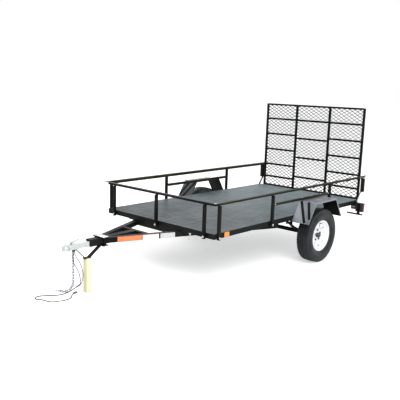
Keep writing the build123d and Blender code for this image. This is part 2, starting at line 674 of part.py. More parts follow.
with BuildPart() as leaf_springs:
    for side in SIDES.values():
        spring_face = side * SPRING_Y + SPRING_WIDTH / 2
        spring_plane = Plane(origin=(AXLE_X, spring_face, 0), x_dir=(1, 0, 0), z_dir=(0, -1, 0))
        with BuildSketch(spring_plane):
            for leaf in range(LEAVES):
                radius = SPRING_R + leaf * LEAF
                reach = degrees(atan(SPRING_HALF_SPAN / (SPRING_R - SPRING_RISE)))
                reach -= degrees(leaf * LEAF_STEP / SPRING_R)
                centre = (0, MAIN_LEAF_Z + SPRING_R)
                with BuildLine() as leaf_line:
                    CenterArc(centre, radius, 270 - reach, 2 * reach)
                trace(lines=leaf_line.edges(), line_width=LEAF + LEAF_BITE)
            with Locations((-SPRING_HALF_SPAN, SPRING_EYE_HEIGHT), (SPRING_HALF_SPAN, SPRING_EYE_HEIGHT)):
                Circle(EYE_R)
                Circle(EYE_BOLT_R + PIN_CLEARANCE, mode=Mode.SUBTRACT)
        extrude(amount=SPRING_WIDTH)
        half_x = AXLE_R + CLAMP_ROD_R + HANGER_GAP
        half_y = SPRING_WIDTH / 2 + CLAMP_ROD_R + HANGER_GAP
        plate_x = half_x + 2 * CLAMP_ROD_R
        plate_y = half_y + 2 * CLAMP_ROD_R
        plates = {
            "pad": (TYRE_R + AXLE_R, STACK_BOTTOM + LEAF),
            "cap": (MAIN_LEAF_Z, MAIN_LEAF_Z + 2 * LEAF),
            "tie": (TYRE_R - AXLE_R - LEAF, TYRE_R - AXLE_R),
        }
        for low, high in plates.values():
            block(
                (AXLE_X - plate_x, side * SPRING_Y - plate_y, low),
                (AXLE_X + plate_x, side * SPRING_Y + plate_y, high),
            )
        for dx in (-half_x, half_x):
            for dy in (-half_y, half_y):
                foot = (AXLE_X + dx, side * SPRING_Y + dy)
                rod((*foot, plates["tie"][0] - LEAF), (*foot, plates["cap"][1] + LEAF), CLAMP_ROD_R)
finish_node(leaf_springs, "leaf_springs")

with BuildPart() as spring_hangers:
    for side in SIDES.values():
        for x in (AXLE_X - SPRING_HALF_SPAN, AXLE_X + SPRING_HALF_SPAN):
            inside = SPRING_WIDTH / 2 + HANGER_GAP
            outside = inside + HANGER_WALL
            ear_bottom = SPRING_EYE_HEIGHT - EYE_R
            for edge in (-outside, inside):
                block(
                    (x - HANGER_HALF_LENGTH, side * SPRING_Y + edge, ear_bottom),
                    (x + HANGER_HALF_LENGTH, side * SPRING_Y + edge + HANGER_WALL, FRAME_BOTTOM),
                )
            block(
                (x - HANGER_HALF_LENGTH, side * SPRING_Y - outside, FRAME_BOTTOM - HANGER_WALL),
                (x + HANGER_HALF_LENGTH, side * SPRING_Y + outside, FRAME_BOTTOM),
            )
            bolt_end = outside + HANGER_WALL
            rod(
                (x, side * SPRING_Y - bolt_end, SPRING_EYE_HEIGHT),
                (x, side * SPRING_Y + bolt_end, SPRING_EYE_HEIGHT), EYE_BOLT_R,
            )
finish_node(spring_hangers, "spring_hangers")

# ---- Wheels ---------------------------------------------------------------------------------------
def wheel_section(side):
    """Plane through a wheel's axis: x outboard from the wheel's middle, y out from the axis."""
    return Plane(origin=(AXLE_X, side * WHEEL_Y, TYRE_R), x_dir=(0, side, 0), z_dir=(side, 0, 0))


def wheel_face(side, outboard):
    """Plane across a wheel's axis at a distance outboard of the wheel's middle."""
    return Plane(
        origin=(AXLE_X, side * (WHEEL_Y + outboard), TYRE_R), x_dir=(0, 0, 1), z_dir=(0, side, 0)
    )


def wheel_axis(side):
    """The line that a wheel turns on."""
    return Axis((AXLE_X, side * WHEEL_Y, TYRE_R), (0, 1, 0))


RIM_HALF = RIM_WIDTH / 2
BEAD = RIM_HALF - RIM_WALL
NUT_START = DISC_WALL

for name, side in SIDES.items():
    with BuildPart() as tyre:
        with BuildSketch(wheel_section(side)):
            with BuildLine():
                bead_top = RIM_FLANGE_R + 1
                tread = TREAD_WIDTH / 2
                shoulder = TYRE_R - TYRE_CROWN
                bulge = (RIM_FLANGE_R + shoulder) / 2
                Polyline((-BEAD, bead_top), (-BEAD, RIM_SEAT_R), (BEAD, RIM_SEAT_R), (BEAD, bead_top))
                ThreePointArc((BEAD, bead_top), (TYRE_WIDTH / 2, bulge), (tread, shoulder))
                ThreePointArc((tread, shoulder), (0, TYRE_R), (-tread, shoulder))
                ThreePointArc((-tread, shoulder), (-TYRE_WIDTH / 2, bulge), (-BEAD, bead_top))
            make_face()
        revolve(axis=wheel_axis(side))
    finish_node(tyre, f"tyre_{name}")

    with BuildPart() as rim:
        with BuildSketch(wheel_section(side)):
            with BuildLine():
                well_in = RIM_WELL_R - RIM_WALL
                seat_in = RIM_SEAT_R - RIM_WALL
                Polyline(
                    (-RIM_HALF, RIM_FLANGE_R), (-BEAD, RIM_FLANGE_R), (-BEAD, RIM_SEAT_R),
                    (WELL_BACK - WELL_SLOPE, RIM_SEAT_R), (WELL_BACK, RIM_WELL_R),
                    (WELL_FRONT, RIM_WELL_R), (WELL_FRONT + WELL_RAMP, RIM_SEAT_R),
                    (BEAD, RIM_SEAT_R), (BEAD, RIM_FLANGE_R), (RIM_HALF, RIM_FLANGE_R),
                    (RIM_HALF, seat_in), (WELL_FRONT + WELL_RAMP + RIM_WALL, seat_in),
                    (WELL_FRONT + RIM_WALL, well_in), (WELL_BACK - RIM_WALL, well_in),
                    (WELL_BACK - WELL_SLOPE - RIM_WALL, seat_in), (-RIM_HALF, seat_in), close=True,
                )
            make_face()
            with BuildLine():
                bore = HUB_CAP_R + LUG_HOLE_CLEARANCE
                back = DISC_CROWN - DISC_WALL
                Polyline(
                    (0, bore), (DISC_WALL, bore), (DISC_WALL, DISC_SEAT_R), (DISC_CROWN, CROWN_INNER_R),
                    (DISC_CROWN, CROWN_OUTER_R), (DISC_FOOT + DISC_SKIRT, well_in), (DISC_FOOT, well_in),
                    (back, CROWN_OUTER_R - DISC_WALL), (back, CROWN_INNER_R + DISC_WALL),
                    (0, DISC_SEAT_R + DISC_WALL), close=True,
                )
            make_face()
        revolve(axis=wheel_axis(side))
        with BuildSketch(wheel_face(side, DISC_CROWN + DISC_WALL)):
            with PolarLocations(WINDOW_R, WINDOWS):
                RegularPolygon(radius=WINDOW_SIZE, side_count=3)
        extrude(amount=-DISC_CROWN, mode=Mode.SUBTRACT)
        with BuildSketch(wheel_face(side, -1)):
            with PolarLocations(LUG_CIRCLE_R, LUGS):
                Circle(LUG_R + LUG_HOLE_CLEARANCE)
        extrude(amount=DISC_WALL + 2, mode=Mode.SUBTRACT)
    finish_node(rim, f"rim_{name}")

    with BuildPart() as hub:
        with BuildSketch(wheel_section(side)):
            with BuildLine():
                bore = SPINDLE_R + PIN_CLEARANCE
                bore_end = SPINDLE_LENGTH + SEAT_CLEARANCE
                Polyline(
                    (-HUB_INNER, bore), (-HUB_INNER, HUB_R), (-HUB_FLANGE_WALL, HUB_R),
                    (-HUB_FLANGE_WALL, HUB_FLANGE_R), (0, HUB_FLANGE_R), (0, HUB_CAP_R),
                    (HUB_CAP_LENGTH - HUB_CAP_BEVEL, HUB_CAP_R),
                    (HUB_CAP_LENGTH, HUB_CAP_R - HUB_CAP_BEVEL),
                    (HUB_CAP_LENGTH, 0), (bore_end, 0), (bore_end, bore), close=True,
                )
            make_face()
        revolve(axis=wheel_axis(side))
        with BuildSketch(wheel_face(side, -HUB_FLANGE_WALL)):
            with PolarLocations(LUG_CIRCLE_R, LUGS):
                Circle(LUG_R)
        extrude(amount=HUB_FLANGE_WALL + NUT_START + LUG_NUT_LENGTH)
        with BuildSketch(wheel_face(side, NUT_START)):
            with PolarLocations(LUG_CIRCLE_R, LUGS):
                RegularPolygon(radius=LUG_NUT_R, side_count=6)
        extrude(amount=LUG_NUT_LENGTH)
    finish_node(hub, f"hub_{name}")

# ---- Ramp gate ------------------------------------------------------------------------------------
HINGE_X = GATE_REAR + HINGE_BEHIND_GATE
HINGE_Z = GATE_BOTTOM - HINGE_DROP


def gate_bar(y_from, y_to, middle, height):
    """One cross bar of the gate, centred on its height."""
    block((GATE_FRONT, y_from, middle - height / 2), (GATE_REAR, y_to, middle + height / 2))


with BuildPart() as gate_frame:
    outer_in = GATE_HALF_WIDTH - GATE_POST
    inner_out = INNER_POST_Y + GATE_POST / 2
    inner_in = INNER_POST_Y - GATE_POST / 2
    for side in SIDES.values():
        block(
            (GATE_FRONT, side * outer_in, GATE_BOTTOM), (GATE_REAR, side * GATE_HALF_WIDTH, GATE_TOP)
        )
        block((GATE_FRONT, side * inner_in, GATE_BOTTOM), (GATE_REAR, side * inner_out, GATE_TOP))
        for height in OUTER_BAY_HEIGHTS:
            gate_bar(side * inner_out, side * outer_in, height, GATE_BAR)
    for height in CENTRE_BAY_HEIGHTS:
        gate_bar(-inner_in, inner_in, height, GATE_BAR)
    gate_bar(-outer_in, outer_in, FULL_BAR_HEIGHT, GATE_BAR)
    gate_bar(-outer_in, outer_in, GATE_TOP - GATE_BAR / 2, GATE_BAR)
    gate_bar(-outer_in, outer_in, GATE_BOTTOM + GATE_BAR / 2, GATE_BAR)
    for y in (-HINGE_Y, HINGE_Y):
        half = KNUCKLE_WIDTH / 2
        ear_rise = HINGE_EAR_R * sin(radians(60))
        arm = (
            (GATE_FRONT + GATE_DEPTH / 4, GATE_BOTTOM), (GATE_REAR, GATE_BOTTOM),
            (HINGE_X + HINGE_EAR_R / 2, HINGE_Z + ear_rise),
            (HINGE_X - HINGE_EAR_R / 2, HINGE_Z - ear_rise),
        )
        side_profile(arm, y - half, y + half)
        rod((HINGE_X, y - half, HINGE_Z), (HINGE_X, y + half, HINGE_Z), HINGE_EAR_R)
        bore = HINGE_PIN_R + PIN_CLEARANCE
        rod((HINGE_X, y - half, HINGE_Z), (HINGE_X, y + half, HINGE_Z), bore, mode=Mode.SUBTRACT)
finish_node(gate_frame, "gate_frame")

with BuildPart() as gate_mesh:
    low = GATE_BOTTOM + GATE_RAISED
    height = GATE_TOP - low
    mesh_middle = (GATE_REAR, 0, (low + GATE_TOP) / 2)
    with BuildSketch(Plane(origin=mesh_middle, x_dir=(0, 1, 0), z_dir=(1, 0, 0))):
        Rectangle(2 * GATE_HALF_WIDTH, height)
        columns = int((2 * GATE_HALF_WIDTH - MESH_STRAND) / MESH_LONG)
        rows = int((height - MESH_STRAND) / MESH_SHORT)
        half_long = MESH_LONG / 2 - MESH_STRAND
        half_short = MESH_SHORT / 2 - MESH_STRAND / 2
        for across, up in ((columns, rows), (columns - 1, rows - 1)):
            with GridLocations(MESH_LONG, MESH_SHORT, across, up):
                diamond = ((-half_long, 0), (0, -half_short), (half_long, 0), (0, half_short))
                Polygon(*diamond, mode=Mode.SUBTRACT)
    extrude(amount=MESH_SHEET)
finish_node(gate_mesh, "gate_mesh")

with BuildPart() as gate_hinges:
    for y in (-HINGE_Y, HINGE_Y):
        gap = KNUCKLE_WIDTH / 2 + HINGE_SIDE_CLEARANCE
        for side in SIDES.values():
            ear_in = y + side * gap
            ear_out = ear_in + side * HINGE_EAR_WALL
            block((REAR, ear_in, HINGE_Z - HINGE_EAR_R), (HINGE_X, ear_out, HINGE_Z + HINGE_EAR_R))
            rod((HINGE_X, ear_in, HINGE_Z), (HINGE_X, ear_out, HINGE_Z), HINGE_EAR_R)
        pin_end = gap + HINGE_EAR_WALL
        rod((HINGE_X, y - pin_end, HINGE_Z), (HINGE_X, y + pin_end, HINGE_Z), HINGE_PIN_R)
finish_node(gate_hinges, "gate_hinges")

# ---- Lamps ----------------------------------------------------------------------------------------
LAMP_X = FRONT + LAMP_BRACKET_FRONT
LAMP_MARGIN = (LAMP_BRACKET_LENGTH - LAMP_LENGTH) / 2
LAMP_TOP = LAMP_BRACKET_TOP - LAMP_BRACKET_WALL
LAMP_FRONT = LAMP_X + LAMP_MARGIN
with BuildPart() as lamp_brackets:
    for side in SIDES.values():
        block(
            (LAMP_X, side * FRAME_HALF_WIDTH, LAMP_TOP),
            (LAMP_X + LAMP_BRACKET_LENGTH, side * LAMP_BRACKET_OUTER, LAMP_BRACKET_TOP),
        )
    bar_middle = -LAMP_BRACKET_OUTER + LICENCE_BAR_LENGTH / 2
    bar_back = LAMP_FRONT - LAMP_BRACKET_WALL
    bar_bottom = LICENCE_BAR_TOP - LICENCE_BAR_HEIGHT
    stem_half = LICENCE_BAR_HEIGHT
    stem_middle = -LAMP_BRACKET_OUTER + 3 * stem_half
    block((bar_back, stem_middle - stem_half, bar_bottom), (LAMP_FRONT, stem_middle + stem_half, LAMP_TOP))
    block(
        (bar_back, bar_middle - LICENCE_BAR_LENGTH / 2, bar_bottom),
        (LAMP_FRONT, bar_middle + LICENCE_BAR_LENGTH / 2, LICENCE_BAR_TOP),
    )
    for edge in (-LICENCE_HOLE_SPACING / 2, LICENCE_HOLE_SPACING / 2):
        hole_z = LICENCE_BAR_TOP - LICENCE_BAR_HEIGHT / 2
        hole_y = bar_middle + edge
        rod((bar_back, hole_y, hole_z), (LAMP_FRONT, hole_y, hole_z), LICENCE_HOLE_R, mode=Mode.SUBTRACT)
finish_node(lamp_brackets, "lamp_brackets")

with BuildPart() as tail_lamps:
    for side in SIDES.values():
        lamp_outer = LAMP_BRACKET_OUTER - LAMP_BRACKET_WALL
        block(
            (LAMP_FRONT, side * (lamp_outer - LAMP_WIDTH), LAMP_TOP - LAMP_HEIGHT),
            (LAMP_FRONT + LAMP_LENGTH, side * lamp_outer, LAMP_TOP),
        )
    fillet(tail_lamps.edges().filter_by(Axis.Z), 4)
finish_node(tail_lamps, "tail_lamps")

with BuildPart() as marker_lamps:
    for side in SIDES.values():
        start = FRONT + MARKER_START
        block(
            (start, side * FRAME_HALF_WIDTH, DECK_TOP - MARKER_HEIGHT),
            (start + MARKER_LENGTH, side * (FRAME_HALF_WIDTH + MARKER_DEPTH), DECK_TOP),
        )
finish_node(marker_lamps, "marker_lamps")

# ---- Safety chain ---------------------------------------------------------------------------------
CHAIN_X = NOSE + CHAIN_HANG_BACK
CHAIN_Y = COUPLER_WIDTH / 2 + CHAIN_EYE_REACH - CHAIN_WIRE
CHAIN_EYE_Z = SHANK_BOTTOM + 2 * CHAIN_WIRE
CHAIN_OUTER_WIDTH = CHAIN_INNER_WIDTH + 2 * CHAIN_WIRE
CHAIN_OUTER_LENGTH = CHAIN_INNER_LENGTH + 2 * CHAIN_WIRE
CHAIN_REST = CHAIN_OUTER_WIDTH / 2
CHAIN_TOP = CHAIN_EYE_Z - CHAIN_INNER_LENGTH / 2 + CHAIN_INNER_WIDTH / 2
HEADING = Vector(cos(radians(CHAIN_HEADING)), sin(radians(CHAIN_HEADING)), 0)
CHAIN_SIDE = Vector(-HEADING.Y, HEADING.X, 0)


def chain_place(distance):
    """Point and direction of the chain's line at a distance below its first link."""
    hang = CHAIN_TOP - CHAIN_REST - CHAIN_BEND_R
    bend = CHAIN_BEND_R * pi / 2
    foot = Vector(CHAIN_X, CHAIN_Y, 0)
    if distance <= hang:
        return foot + Z_AXIS * (CHAIN_TOP - distance), -Z_AXIS
    if distance <= hang + bend:
        turn = (distance - hang) / CHAIN_BEND_R
        ahead = CHAIN_BEND_R * (1 - cos(turn))
        up = CHAIN_REST + CHAIN_BEND_R * (1 - sin(turn))
        return foot + HEADING * ahead + Z_AXIS * up, HEADING * sin(turn) - Z_AXIS * cos(turn)
    ahead = CHAIN_BEND_R + distance - hang - bend
    return foot + HEADING * ahead + Z_AXIS * CHAIN_REST, HEADING


def link_plane(place, direction, index):
    """Plane of one link; every second link is turned a quarter turn about the chain's line."""
    across = CHAIN_SIDE if index % 2 else direction.cross(CHAIN_SIDE)
    return Plane(origin=place - across * (CHAIN_WIRE / 2), x_dir=direction, z_dir=across)


with BuildPart() as safety_chain:
    eye_end = CHAIN_Y + CHAIN_WIRE + 3 * CHAIN_PLAY
    head_end = eye_end + CHAIN_WIRE / 2
    rod((CHAIN_X, COUPLER_WIDTH / 2, CHAIN_EYE_Z), (CHAIN_X, eye_end, CHAIN_EYE_Z), CHAIN_EYE_R)
    rod((CHAIN_X, eye_end, CHAIN_EYE_Z), (CHAIN_X, head_end, CHAIN_EYE_Z), CHAIN_EYE_HEAD_R)
    hang = CHAIN_TOP - CHAIN_REST - CHAIN_BEND_R
    chain_length = hang + CHAIN_BEND_R * pi / 2 + CHAIN_FLOOR_LENGTH
    travelled = 0.0
    count = 0
    while travelled < chain_length:
        place, direction = chain_place(travelled)
        with BuildSketch(link_plane(place, direction, count)):
            SlotOverall(CHAIN_OUTER_LENGTH, CHAIN_OUTER_WIDTH)
            SlotOverall(CHAIN_INNER_LENGTH, CHAIN_INNER_WIDTH, mode=Mode.SUBTRACT)
        extrude(amount=CHAIN_WIRE)
        travelled += CHAIN_INNER_LENGTH - (CHAIN_SLACK if travelled < hang else CHAIN_BEND_SLACK)
        count += 1
    place, direction = chain_place(travelled)
    hook_plane = link_plane(place, direction, count)
    with BuildSketch(hook_plane):
        SlotOverall(CHAIN_OUTER_LENGTH, CHAIN_OUTER_WIDTH)
        SlotOverall(CHAIN_INNER_LENGTH, CHAIN_INNER_WIDTH, mode=Mode.SUBTRACT)
        with BuildLine() as hook_line:
            hook_start = CHAIN_OUTER_LENGTH / 2 - CHAIN_WIRE / 2
            CenterArc((hook_start + HOOK_R, 0), HOOK_R, 180, -250)
        trace(lines=hook_line.edges(), line_width=CHAIN_WIRE)
    extrude(amount=CHAIN_WIRE)
print("chain links and hook", count + 1, "solids", len(safety_chain.part.solids()) - 1)
finish_node(safety_chain, "safety_chain")

# ---- Wiring harness -------------------------------------------------------------------------------
FLOOR_LINE = TRUNK_DIAMETER / 2 + FLOOR_CLEARANCE


def leg_end(offset):
    """Where a leg of the harness enters the junction, and the point that lines it up."""
    end = Vector(*JUNCTION) + X_AXIS * offset
    return [tuple(end - JUNCTION_AXIS * LEG_LEAD), tuple(end)]


FRONT_LEG_ROUTE = [
    (-1908, -14, CLIP_BOTTOM), (-1908, -14, 398), (-1918, -19, 358), (-1908, -23, 312), (-1886, -26, 272),
    (-1860, -27, 225), (-1842, -25, 168), *leg_end(-LEG_SPREAD),
]
REAR_LEG_ROUTE = [
    (-1893, -14, CLIP_BOTTOM), (-1893, -14, 396), (-1876, -19, 358), (-1846, -23, 312),
    (-1818, -26, 245), (-1811, -27, 176), *leg_end(LEG_SPREAD),
]
TRUNK_START = Vector(*JUNCTION) + JUNCTION_AXIS * JUNCTION_LENGTH
TRUNK_ROUTE = [
    tuple(TRUNK_START), tuple(TRUNK_START + JUNCTION_AXIS * TRUNK_LEAD),
    (-1836, 88, 27), (-1852, 106, 11), (-1884, 108, FLOOR_LINE), (-1945, 90, FLOOR_LINE),
    (-2001, 107, FLOOR_LINE), (-2050, 142, FLOOR_LINE), (-2091, 175, FLOOR_LINE), (-2136, 200, FLOOR_LINE),
    (-2182, 180, FLOOR_LINE), (-2193, 143, FLOOR_LINE), (-2164, 109, FLOOR_LINE), (-2152, 65, FLOOR_LINE),
    (-2147, 27, FLOOR_LINE), (-2127, -5, FLOOR_LINE), (-2090, -28, FLOOR_LINE), (-2046, -42, FLOOR_LINE),
    (-1999, -46, FLOOR_LINE), (-1955, -36, FLOOR_LINE), (-1918, -5, FLOOR_LINE), (-1892, 36, FLOOR_LINE),
    (-1858, 47, FLOOR_LINE),
]


def cord_radii(route):
    """Largest arc that each corner's two runs allow."""
    radii = []
    points = [Vector(*point) for point in route]
    for before, corner, after in zip(points, points[1:], points[2:]):
        turn = (corner - before).get_angle(after - corner)
        shorter = min((corner - before).length, (after - corner).length)
        radii.append(0.45 * shorter / (sin(radians(turn / 2)) / cos(radians(turn / 2))))
    return radii


def cord_tube(route, diameter):
    """Round cord of straight runs joined by tangent arcs."""
    radii = cord_radii(route)
    print("smallest radius", round(min(radii), 1), "of a cord of", diameter)
    with BuildLine() as line:
        FilletPolyline(*route, radius=radii)
    start = line.line @ 0
    with BuildSketch(Plane(origin=start, z_dir=line.line % 0)) as section:
        Circle(diameter / 2)
    sweep(section.sketch, path=line.line)


with BuildPart() as harness_clip:
    clip_x = NOSE + CLIP_BACK
    block(
        (clip_x, CLIP_INNER_Y - CLIP_WIDTH, CLIP_BOTTOM), (clip_x + CLIP_LENGTH, CLIP_INNER_Y, SHANK_BOTTOM)
    )
    fillet(harness_clip.edges().filter_by(Axis.Z), CLIP_CORNER_R)
finish_node(harness_clip, "harness_clip")

for node, route in (("harness_leg_front", FRONT_LEG_ROUTE), ("harness_leg_rear", REAR_LEG_ROUTE)):
    with BuildPart() as harness_leg:
        cord_tube(route, LEG_DIAMETER)
    finish_node(harness_leg, node)

with BuildPart() as harness_junction:
    with BuildSketch(Plane(origin=JUNCTION, x_dir=X_AXIS, z_dir=JUNCTION_AXIS)):
        RectangleRounded(JUNCTION_WIDTH, JUNCTION_DEPTH, 3)
    extrude(amount=JUNCTION_LENGTH)
finish_node(harness_junction, "harness_junction")

with BuildPart() as harness_trunk:
    cord_tube(TRUNK_ROUTE, TRUNK_DIAMETER)
finish_node(harness_trunk, "harness_trunk")

with BuildPart() as harness_plug:
    plug_run = Vector(*TRUNK_ROUTE[-1]) - Vector(*TRUNK_ROUTE[-2])
    plug_side = Z_AXIS.cross(plug_run).normalized()
    with BuildSketch(Plane(origin=TRUNK_ROUTE[-1], x_dir=plug_side, z_dir=plug_run)):
        with Locations((0, PLUG_HEIGHT / 2 - FLOOR_LINE)):
            RectangleRounded(PLUG_WIDTH, PLUG_HEIGHT, 3)
    extrude(amount=PLUG_LENGTH)
finish_node(harness_plug, "harness_plug")
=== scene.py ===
"""Dresses the utility trailer: finishes for its frame, and the mesh, chain, wiring, tread and bolts."""

import logging
import math
from dataclasses import dataclass, field
from enum import Enum
from typing import Any, Sequence

import bmesh
import bpy
from mathutils import Matrix, Vector


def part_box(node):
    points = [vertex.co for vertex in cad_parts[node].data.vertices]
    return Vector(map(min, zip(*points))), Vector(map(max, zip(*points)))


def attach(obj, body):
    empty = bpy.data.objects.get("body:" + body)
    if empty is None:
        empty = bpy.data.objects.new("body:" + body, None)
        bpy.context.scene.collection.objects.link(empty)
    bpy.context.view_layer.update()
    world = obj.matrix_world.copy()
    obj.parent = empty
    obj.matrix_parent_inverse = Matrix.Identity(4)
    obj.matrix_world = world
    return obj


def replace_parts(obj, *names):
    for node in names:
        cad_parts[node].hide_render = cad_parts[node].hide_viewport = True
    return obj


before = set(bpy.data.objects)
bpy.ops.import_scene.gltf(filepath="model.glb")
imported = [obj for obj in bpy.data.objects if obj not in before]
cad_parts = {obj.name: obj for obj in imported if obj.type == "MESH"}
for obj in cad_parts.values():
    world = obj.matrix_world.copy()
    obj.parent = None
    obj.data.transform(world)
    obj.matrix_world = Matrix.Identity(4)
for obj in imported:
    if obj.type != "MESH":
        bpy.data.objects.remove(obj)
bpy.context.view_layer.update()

logging.basicConfig(level=logging.INFO, format="%(message)s")
LOG = logging.getLogger("trailer")
BODY = "trailer"

Point = tuple[float, float, float]
Colour = tuple[float, float, float]
Bolt = tuple[Sequence[float], Sequence[float], float]

# Shared places, in metres: the frame's outer faces, the posts on them and the wheels' middles
WEB = 0.765
FRONT_FACE = -0.88
POST = 0.028
POST_XS = (-0.83, 0.01, 1.13)
FRONT_POST_YS = (-0.65, 0.0, 0.65)
AXLE_X, WHEEL_Y, AXLE_Z = 0.751, 0.872, 0.3
HINGE_Y = 0.5

WHITE = (1.0, 1.0, 1.0, 1.0)
UP = Vector((0, 0, 1))
STILL = (0, 0, 0)


class Side(Enum):
    """The two sides of the trailer, by the sign of Y."""

    LEFT = -1
    RIGHT = 1

    @property
    def word(self) -> str:
        """The side's name as the frame's nodes spell it."""
        return self.name.lower()

    @property
    def out(self) -> Vector:
        """The way out of the trailer on this side."""
        return Vector((0, self.value, 0))


# ---- Mesh helpers ---------------------------------------------------------------------------------
def place(obj: bpy.types.Object) -> bpy.types.Object:
    """Links an object to the scene and returns it."""
    bpy.context.scene.collection.objects.link(obj)
    return obj


def mesh_piece(name: str, bm: bmesh.types.BMesh, smooth_angle: float) -> bpy.types.Object:
    """Turns a bmesh into a scene piece with its place in its mesh.

    Args:
        name: The piece's name.
        bm: The shape, which is freed.
        smooth_angle: Edges flatter than this are shaded smooth, in degrees.

    Returns:
        The new object.
    """
    for face in bm.faces:
        face.smooth = True
    limit = math.radians(smooth_angle)
    for edge in bm.edges:
        edge.smooth = len(edge.link_faces) == 2 and edge.calc_face_angle(0.0) < limit
    mesh = bpy.data.meshes.new(name)
    bm.to_mesh(mesh)
    bm.free()
    return place(bpy.data.objects.new(name, mesh))


def outward(bm: bmesh.types.BMesh) -> bmesh.types.BMesh:
    """Points every face of a bmesh outwards and returns it."""
    bmesh.ops.recalc_face_normals(bm, faces=bm.faces)
    return bm


def join(bm: bmesh.types.BMesh, extra: bmesh.types.BMesh) -> None:
    """Joins a second bmesh into the first and frees it.

    Args:
        bm: The mesh that is added to.
        extra: The mesh that is added, and freed.
    """
    mesh = bpy.data.meshes.new("part")
    extra.to_mesh(mesh)
    extra.free()
    bm.from_mesh(mesh)
    bpy.data.meshes.remove(mesh)


def move(bm: bmesh.types.BMesh, verts: Sequence[Any], matrix: Matrix) -> None:
    """Applies a matrix to some vertices of a bmesh."""
    bmesh.ops.transform(bm, matrix=matrix, verts=list(verts))


def axes(x: Vector, y: Vector, z: Vector) -> Matrix:
    """Turn whose columns are the three directions."""
    return Matrix((x, y, z)).transposed().to_4x4()


def only(items: Sequence[Any], kind: type) -> list[Any]:
    """The vertices, edges or faces among what an operator returned."""
    return [item for item in items if isinstance(item, kind)]


def add_box(bm: bmesh.types.BMesh, low: Sequence[float], high: Sequence[float],
            bevel: float = 0.0) -> list[Any]:
    """Adds a box between two corners, with its edges bevelled.

    Args:
        bm: The bmesh that gets the box.
        low: One corner, in metres.
        high: The opposite corner.
        bevel: Width of the bevel on every edge.

    Returns:
        The box's vertices.
    """
    sizes = [abs(b - a) for a, b in zip(low, high)]
    centre = [(a + b) / 2 for a, b in zip(low, high)]
    verts = bmesh.ops.create_cube(bm, size=1.0)["verts"]
    move(bm, verts, Matrix.Translation(centre) @ Matrix.Diagonal((*sizes, 1.0)))
    if bevel:
        edges = list({edge for vert in verts for edge in vert.link_edges})
        made = bmesh.ops.bevel(
            bm, geom=edges, offset=bevel, offset_type="OFFSET", affect="EDGES", segments=2, profile=0.5,
            material=-1,
        )
        verts = [vert for vert in verts if vert.is_valid] + made["verts"]
    return verts


def side_box(
    bm: bmesh.types.BMesh, side: Side, xs: Sequence[float], ys: Sequence[float], zs: Sequence[float],
    bevel: float,
) -> None:
    """Adds a box on one side of the trailer.

    Args:
        bm: The bmesh that gets the box.
        side: The side of the trailer.
        xs: Its two ends along X.
        ys: Its two distances from the trailer's middle.
        zs: Its foot and top.
        bevel: Width of the bevel on every edge.
    """
    near, far = sorted(side.value * y for y in ys)
    add_box(bm, (xs[0], near, zs[0]), (xs[1], far, zs[1]), bevel)


def add_cylinder(
    bm: bmesh.types.BMesh, at: Sequence[float], normal: Sequence[float], radius: float, depth: float,
    segments: int = 16, tip_radius: float | None = None,
) -> None:
    """Adds a closed cylinder or cone that stands on a point along a normal.

    Args:
        bm: The bmesh that gets it.
        at: Middle of its foot.
        normal: The way it stands.
        radius: Radius at the foot.
        depth: Its height.
        segments: Its number of sides.
        tip_radius: Radius at the tip, if it isn't the foot's.
    """
    tip = radius if tip_radius is None else tip_radius
    verts = bmesh.ops.create_cone(
        bm, cap_ends=True, cap_tris=False, segments=segments, radius1=radius, radius2=tip, depth=depth
    )["verts"]
    turn = Vector(normal).to_track_quat("Z", "Y").to_matrix().to_4x4()
    move(bm, verts, Matrix.Translation(at) @ turn @ Matrix.Translation((0, 0, depth / 2)))


def add_bolt(bm: bmesh.types.BMesh, at: Sequence[float], normal: Sequence[float], size: float) -> None:
    """Adds a washer, a hexagon head and a domed tip.

    Args:
        bm: The bmesh that gets the bolt.
        at: Where the washer lies.
        normal: The way out of the surface.
        size: Thread diameter, in metres.
    """
    out = Vector(normal).normalized()
    foot = Vector(at)
    add_cylinder(bm, foot, out, size * 1.25, size * 0.2, 24)
    add_cylinder(bm, foot + out * size * 0.2, out, size * 0.92, size * 0.55, 6)
    add_cylinder(bm, foot + out * size * 0.75, out, size * 0.8, size * 0.12, 12, size * 0.6)


def spun(
    profile: Sequence[tuple[float, float]], centre: Sequence[float], outboard: int, steps: int
) -> bmesh.types.BMesh:
    """Spins an outline about a line along Y.

    Args:
        profile: Points as (outboard, radius), in metres; a closed loop.
        centre: A point on the line.
        outboard: The sign of Y that is outboard.
        steps: Number of sections round the line.

    Returns:
        A closed bmesh with its faces outward.
    """
    bm = bmesh.new()
    origin = Vector(centre)
    verts = [bm.verts.new(origin + Vector((0, outboard * across, up))) for across, up in profile]
    edges = [bm.edges.new((a, b)) for a, b in zip(verts, verts[1:] + verts[:1])]
    bmesh.ops.spin(
        bm, geom=[*verts, *edges], cent=origin, axis=(0, 1, 0), angle=math.tau, steps=steps, use_merge=True,
        dvec=STILL,
    )
    bmesh.ops.remove_doubles(bm, verts=bm.verts, dist=1e-6)
    return outward(bm)


# ---- Shared shader effects ------------------------------------------------------------------------
def new_node(tree: bpy.types.NodeTree, kind: str, inputs: dict[Any, Any], **settings: Any) -> Any:
    """Adds a shader node.

    Args:
        tree: The node tree that gets it.
        kind: The node's type.
        inputs: What each input takes: another node's output, or a value.
        **settings: Properties of the node itself, set first.

    Returns:
        The node.
    """
    node = tree.nodes.new(kind)
    for label, value in settings.items():
        setattr(node, label, value)
    for label, value in inputs.items():
        if isinstance(value, bpy.types.NodeSocket):
            tree.links.new(value, node.inputs[label])
        else:
            node.inputs[label].default_value = value
    return node


def object_place(tree: bpy.types.NodeTree) -> Any:
    """Object coordinates."""
    return tree.nodes.new("ShaderNodeTexCoord").outputs["Object"]


